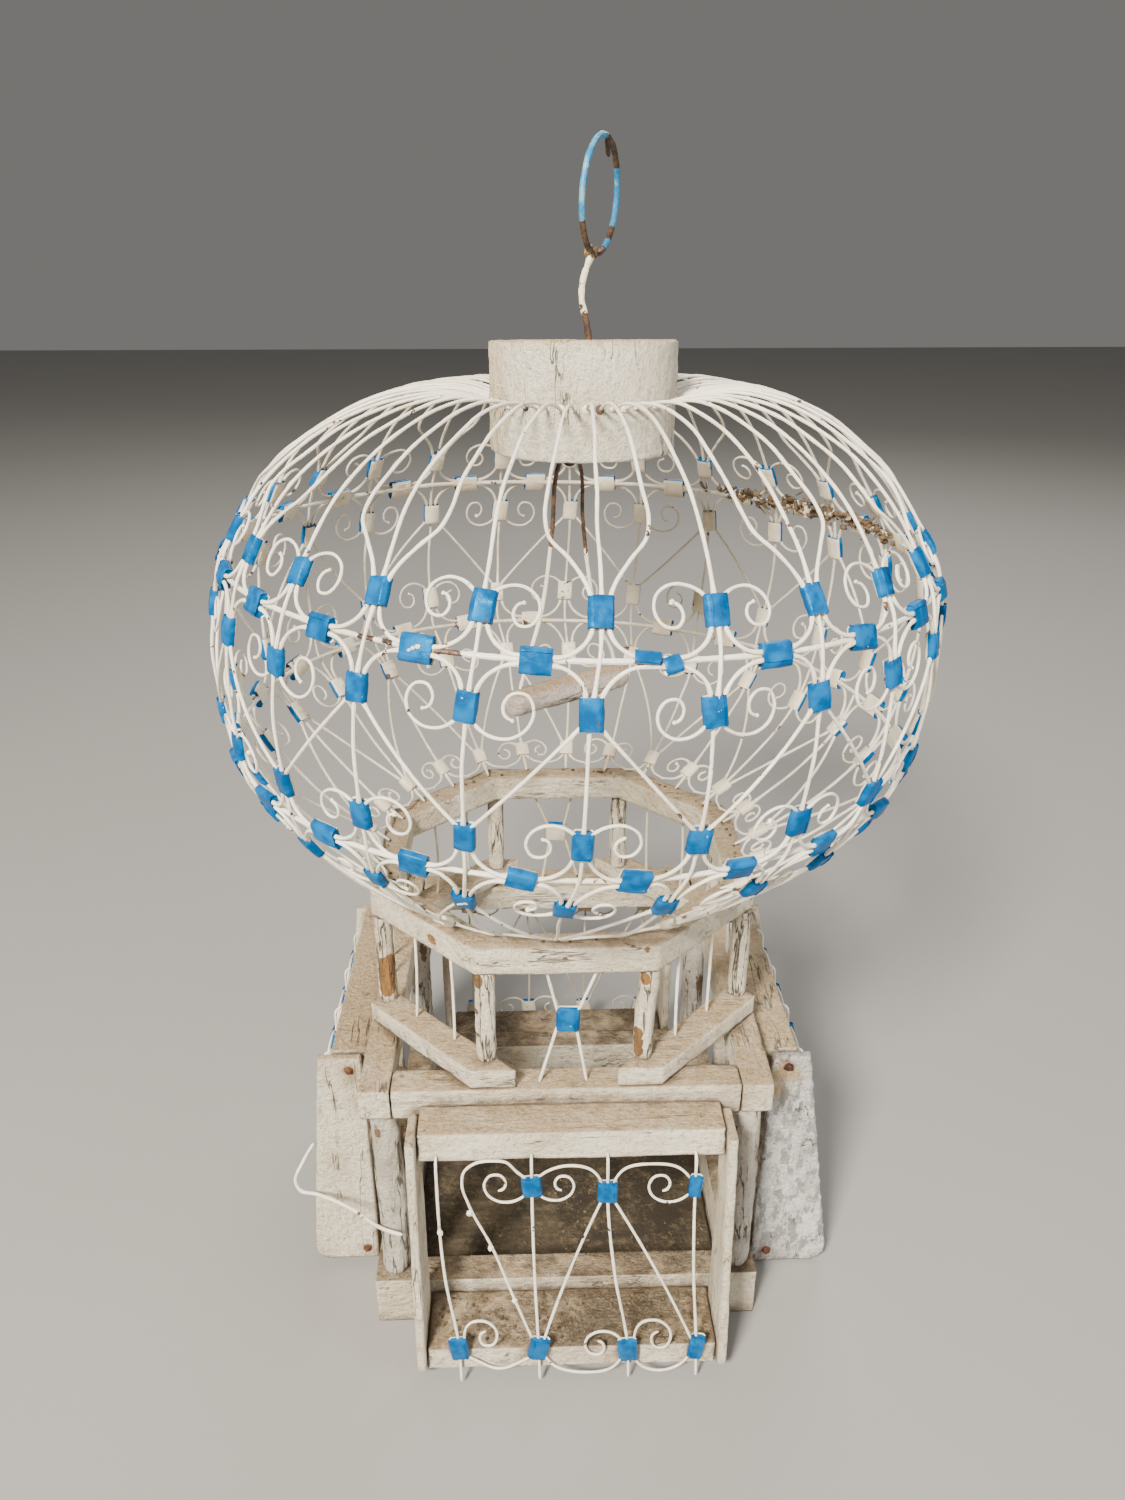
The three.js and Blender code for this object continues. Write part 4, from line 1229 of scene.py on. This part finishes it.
PERCH_SIDES = 22
PERCH_HALF = 32
PERCH_RADIUS = 6.05
PERCH_DROP = 103.5
PERCH_ENDS = (0.8, 0.93, 0.98)  # its ends are rounded
PERCH_KNOTS = ((0.09, 1), (0.05, 4), (0.04, 9))  # how deep and how fine its surface is uneven
perch_bm = bmesh.new()
rows = []
for step in range(2 * PERCH_HALF + 1):
    along = step - PERCH_HALF
    end = min(step, 2 * PERCH_HALF - step)
    ring = []
    for corner in range(PERCH_SIDES):
        angle = 2 * math.pi * corner / PERCH_SIDES
        around = Vector((along * 0.04, math.cos(angle) * 1.1, math.sin(angle) * 1.1))
        uneven = sum(depth * noise.noise(around * scale) for depth, scale in PERCH_KNOTS)
        size = PERCH_RADIUS * (1 + uneven)
        size *= PERCH_ENDS[end] if end < 3 else 1
        place = on_swing(along, size * math.cos(angle), size * math.sin(angle) - PERCH_DROP)
        ring.append(perch_bm.verts.new(place))
    rows.append(ring)
join_rings(perch_bm, rows)
make_piece(perch_bm, "perch_stick", [perch_wood], "swing", ("perch",))

# ------------------------------------------------------------------ latch wire
latch_line = [
    (-125.6, -45.5, 70), (-131, -50, 62), (-134, -56, 57), (-130, -63, 56.5), (-122, -66.2, 57.5),
    (-102, -78, 59), (-87, -91, 61), (-76.5, -97, 63),
]
latch = bmesh.new()
add_tube(latch, latch_line, 0.85, 8, 1.6)
make_wires(latch, "latch_hook", "latch", ("latch_wire",))

# ------------------------------------------------------------------ seed husks and dirt
HUSKS = 460
husks = bmesh.new()
for index in range(HUSKS):
    # On the floor, on the front box's bottom board, or on the ring.
    spot = rng.random()
    if spot < 0.4:
        x, y, z = rng.uniform(-74, 74), rng.uniform(-74, 76), 4.2
    elif spot < 0.9:
        x, y, z = rng.uniform(-60, 64), rng.uniform(-119, -95), 20.4
    else:
        angle = rng.uniform(0, 2 * math.pi)
        x, y, z = 84 * math.cos(angle), 84 * math.sin(angle), RING_TOP + 0.3
        if abs(x) + abs(y) > 124 or max(abs(x), abs(y)) > 87:
            continue
    size = rng.uniform(0.5, 1.3)
    lump = add_lump(husks, (x, y, z), (size, size * rng.uniform(0.5, 1), size * 0.5), index)
    spin = Matrix.Rotation(rng.uniform(0, 3.1), 3, "Z")
    bmesh.ops.rotate(husks, cent=(x, y, z), matrix=spin, verts=lump)
make_piece(husks, "seed_husks", [seed_husks], "cage")

# Old cobweb and dust cling to the wires high on the back right of the dome.
STRANDS = 150
web = bmesh.new()
for strand in range(STRANDS):
    t = strand / (STRANDS - 1)
    degrees = 102 + 44 * t + rng.gauss(0, 1.5)
    length = LEVEL["upper_hoop"] + rng.gauss(-1.5, 2.2)
    here = dome(degrees, length, rng.uniform(0.5, 4))
    drift = Vector((rng.gauss(0, 3), rng.gauss(0, 3), rng.gauss(0, 2)))
    middle = here + drift * 0.5 + Vector((0, 0, rng.uniform(-1.5, 1.5)))
    add_tube(web, [here, middle, here + drift], rng.uniform(0.25, 0.8), 5, 1.2, lumps=0.6)
    if strand % 2 == 0:
        size = rng.uniform(0.7, 1.9)
        add_lump(web, here + drift * 0.2, (size, size, size * 0.8), strand, 2)
make_piece(web, "cobweb", [cobweb], "cage")

# ------------------------------------------------------------------ floor, lights and camera, in metres
REACH = 6
corners = [(-REACH, -REACH, 0), (REACH, -REACH, 0), (REACH, REACH, 0), (-REACH, REACH, 0)]
floor = bpy.data.meshes.new("floor")
floor.from_pydata(corners, [], [(0, 1, 2, 3)])
floor_object = bpy.data.objects.new("floor", floor)
bpy.context.scene.collection.objects.link(floor_object)
paper = Nodes("floor_paint")
paper.colour = paper.mix(paper.noise(3), (0.27, 0.262, 0.25, 1), (0.29, 0.282, 0.27, 1))
floor.materials.append(paper.finish(0.7, paper.noise(40), 0.0001))


def add_light(name, place, target, size, watts, colour):
    lamp = bpy.data.lights.new(name, "AREA")
    lamp.shape = "DISK"
    lamp.size = size
    lamp.energy = watts
    lamp.color = colour
    light = bpy.data.objects.new(name, lamp)
    light.location = place
    light.rotation_euler = (Vector(target) - Vector(place)).to_track_quat("-Z", "Y").to_euler()
    bpy.context.scene.collection.objects.link(light)


add_light("key", (-0.8, -1.7, 1.75), (0, 0, 0.25), 0.5, 195, (1.0, 0.94, 0.83))
add_light("fill", (1.7, -1.1, 1.0), (0, 0, 0.25), 1.4, 26, (0.97, 0.97, 1.0))
add_light("back", (0.5, 1.6, 1.7), (0, 0, 0.3), 1.2, 28, (1.0, 0.97, 0.92))

world = bpy.data.worlds.new("studio")
world.use_nodes = True
background = world.node_tree.nodes["Background"].inputs
background["Color"].default_value = (0.9, 0.88, 0.84, 1)
background["Strength"].default_value = 0.2
bpy.context.scene.world = world

CAMERA_PLACE = (-0.0121, -0.4711, 0.4765)
CAMERA_DOWN = 24.25  # degrees below the horizon
CAMERA_ROLL = 0.06
CAMERA_TURN = -1.59
camera_data = bpy.data.cameras.new("camera")
camera_data.sensor_fit = "VERTICAL"
camera_data.sensor_height = 36
camera_data.lens = 26.41
camera = bpy.data.objects.new("camera", camera_data)
camera.location = CAMERA_PLACE
camera.rotation_euler = [math.radians(angle) for angle in (90 - CAMERA_DOWN, CAMERA_ROLL, CAMERA_TURN)]
bpy.context.scene.collection.objects.link(camera)
bpy.context.scene.camera = camera

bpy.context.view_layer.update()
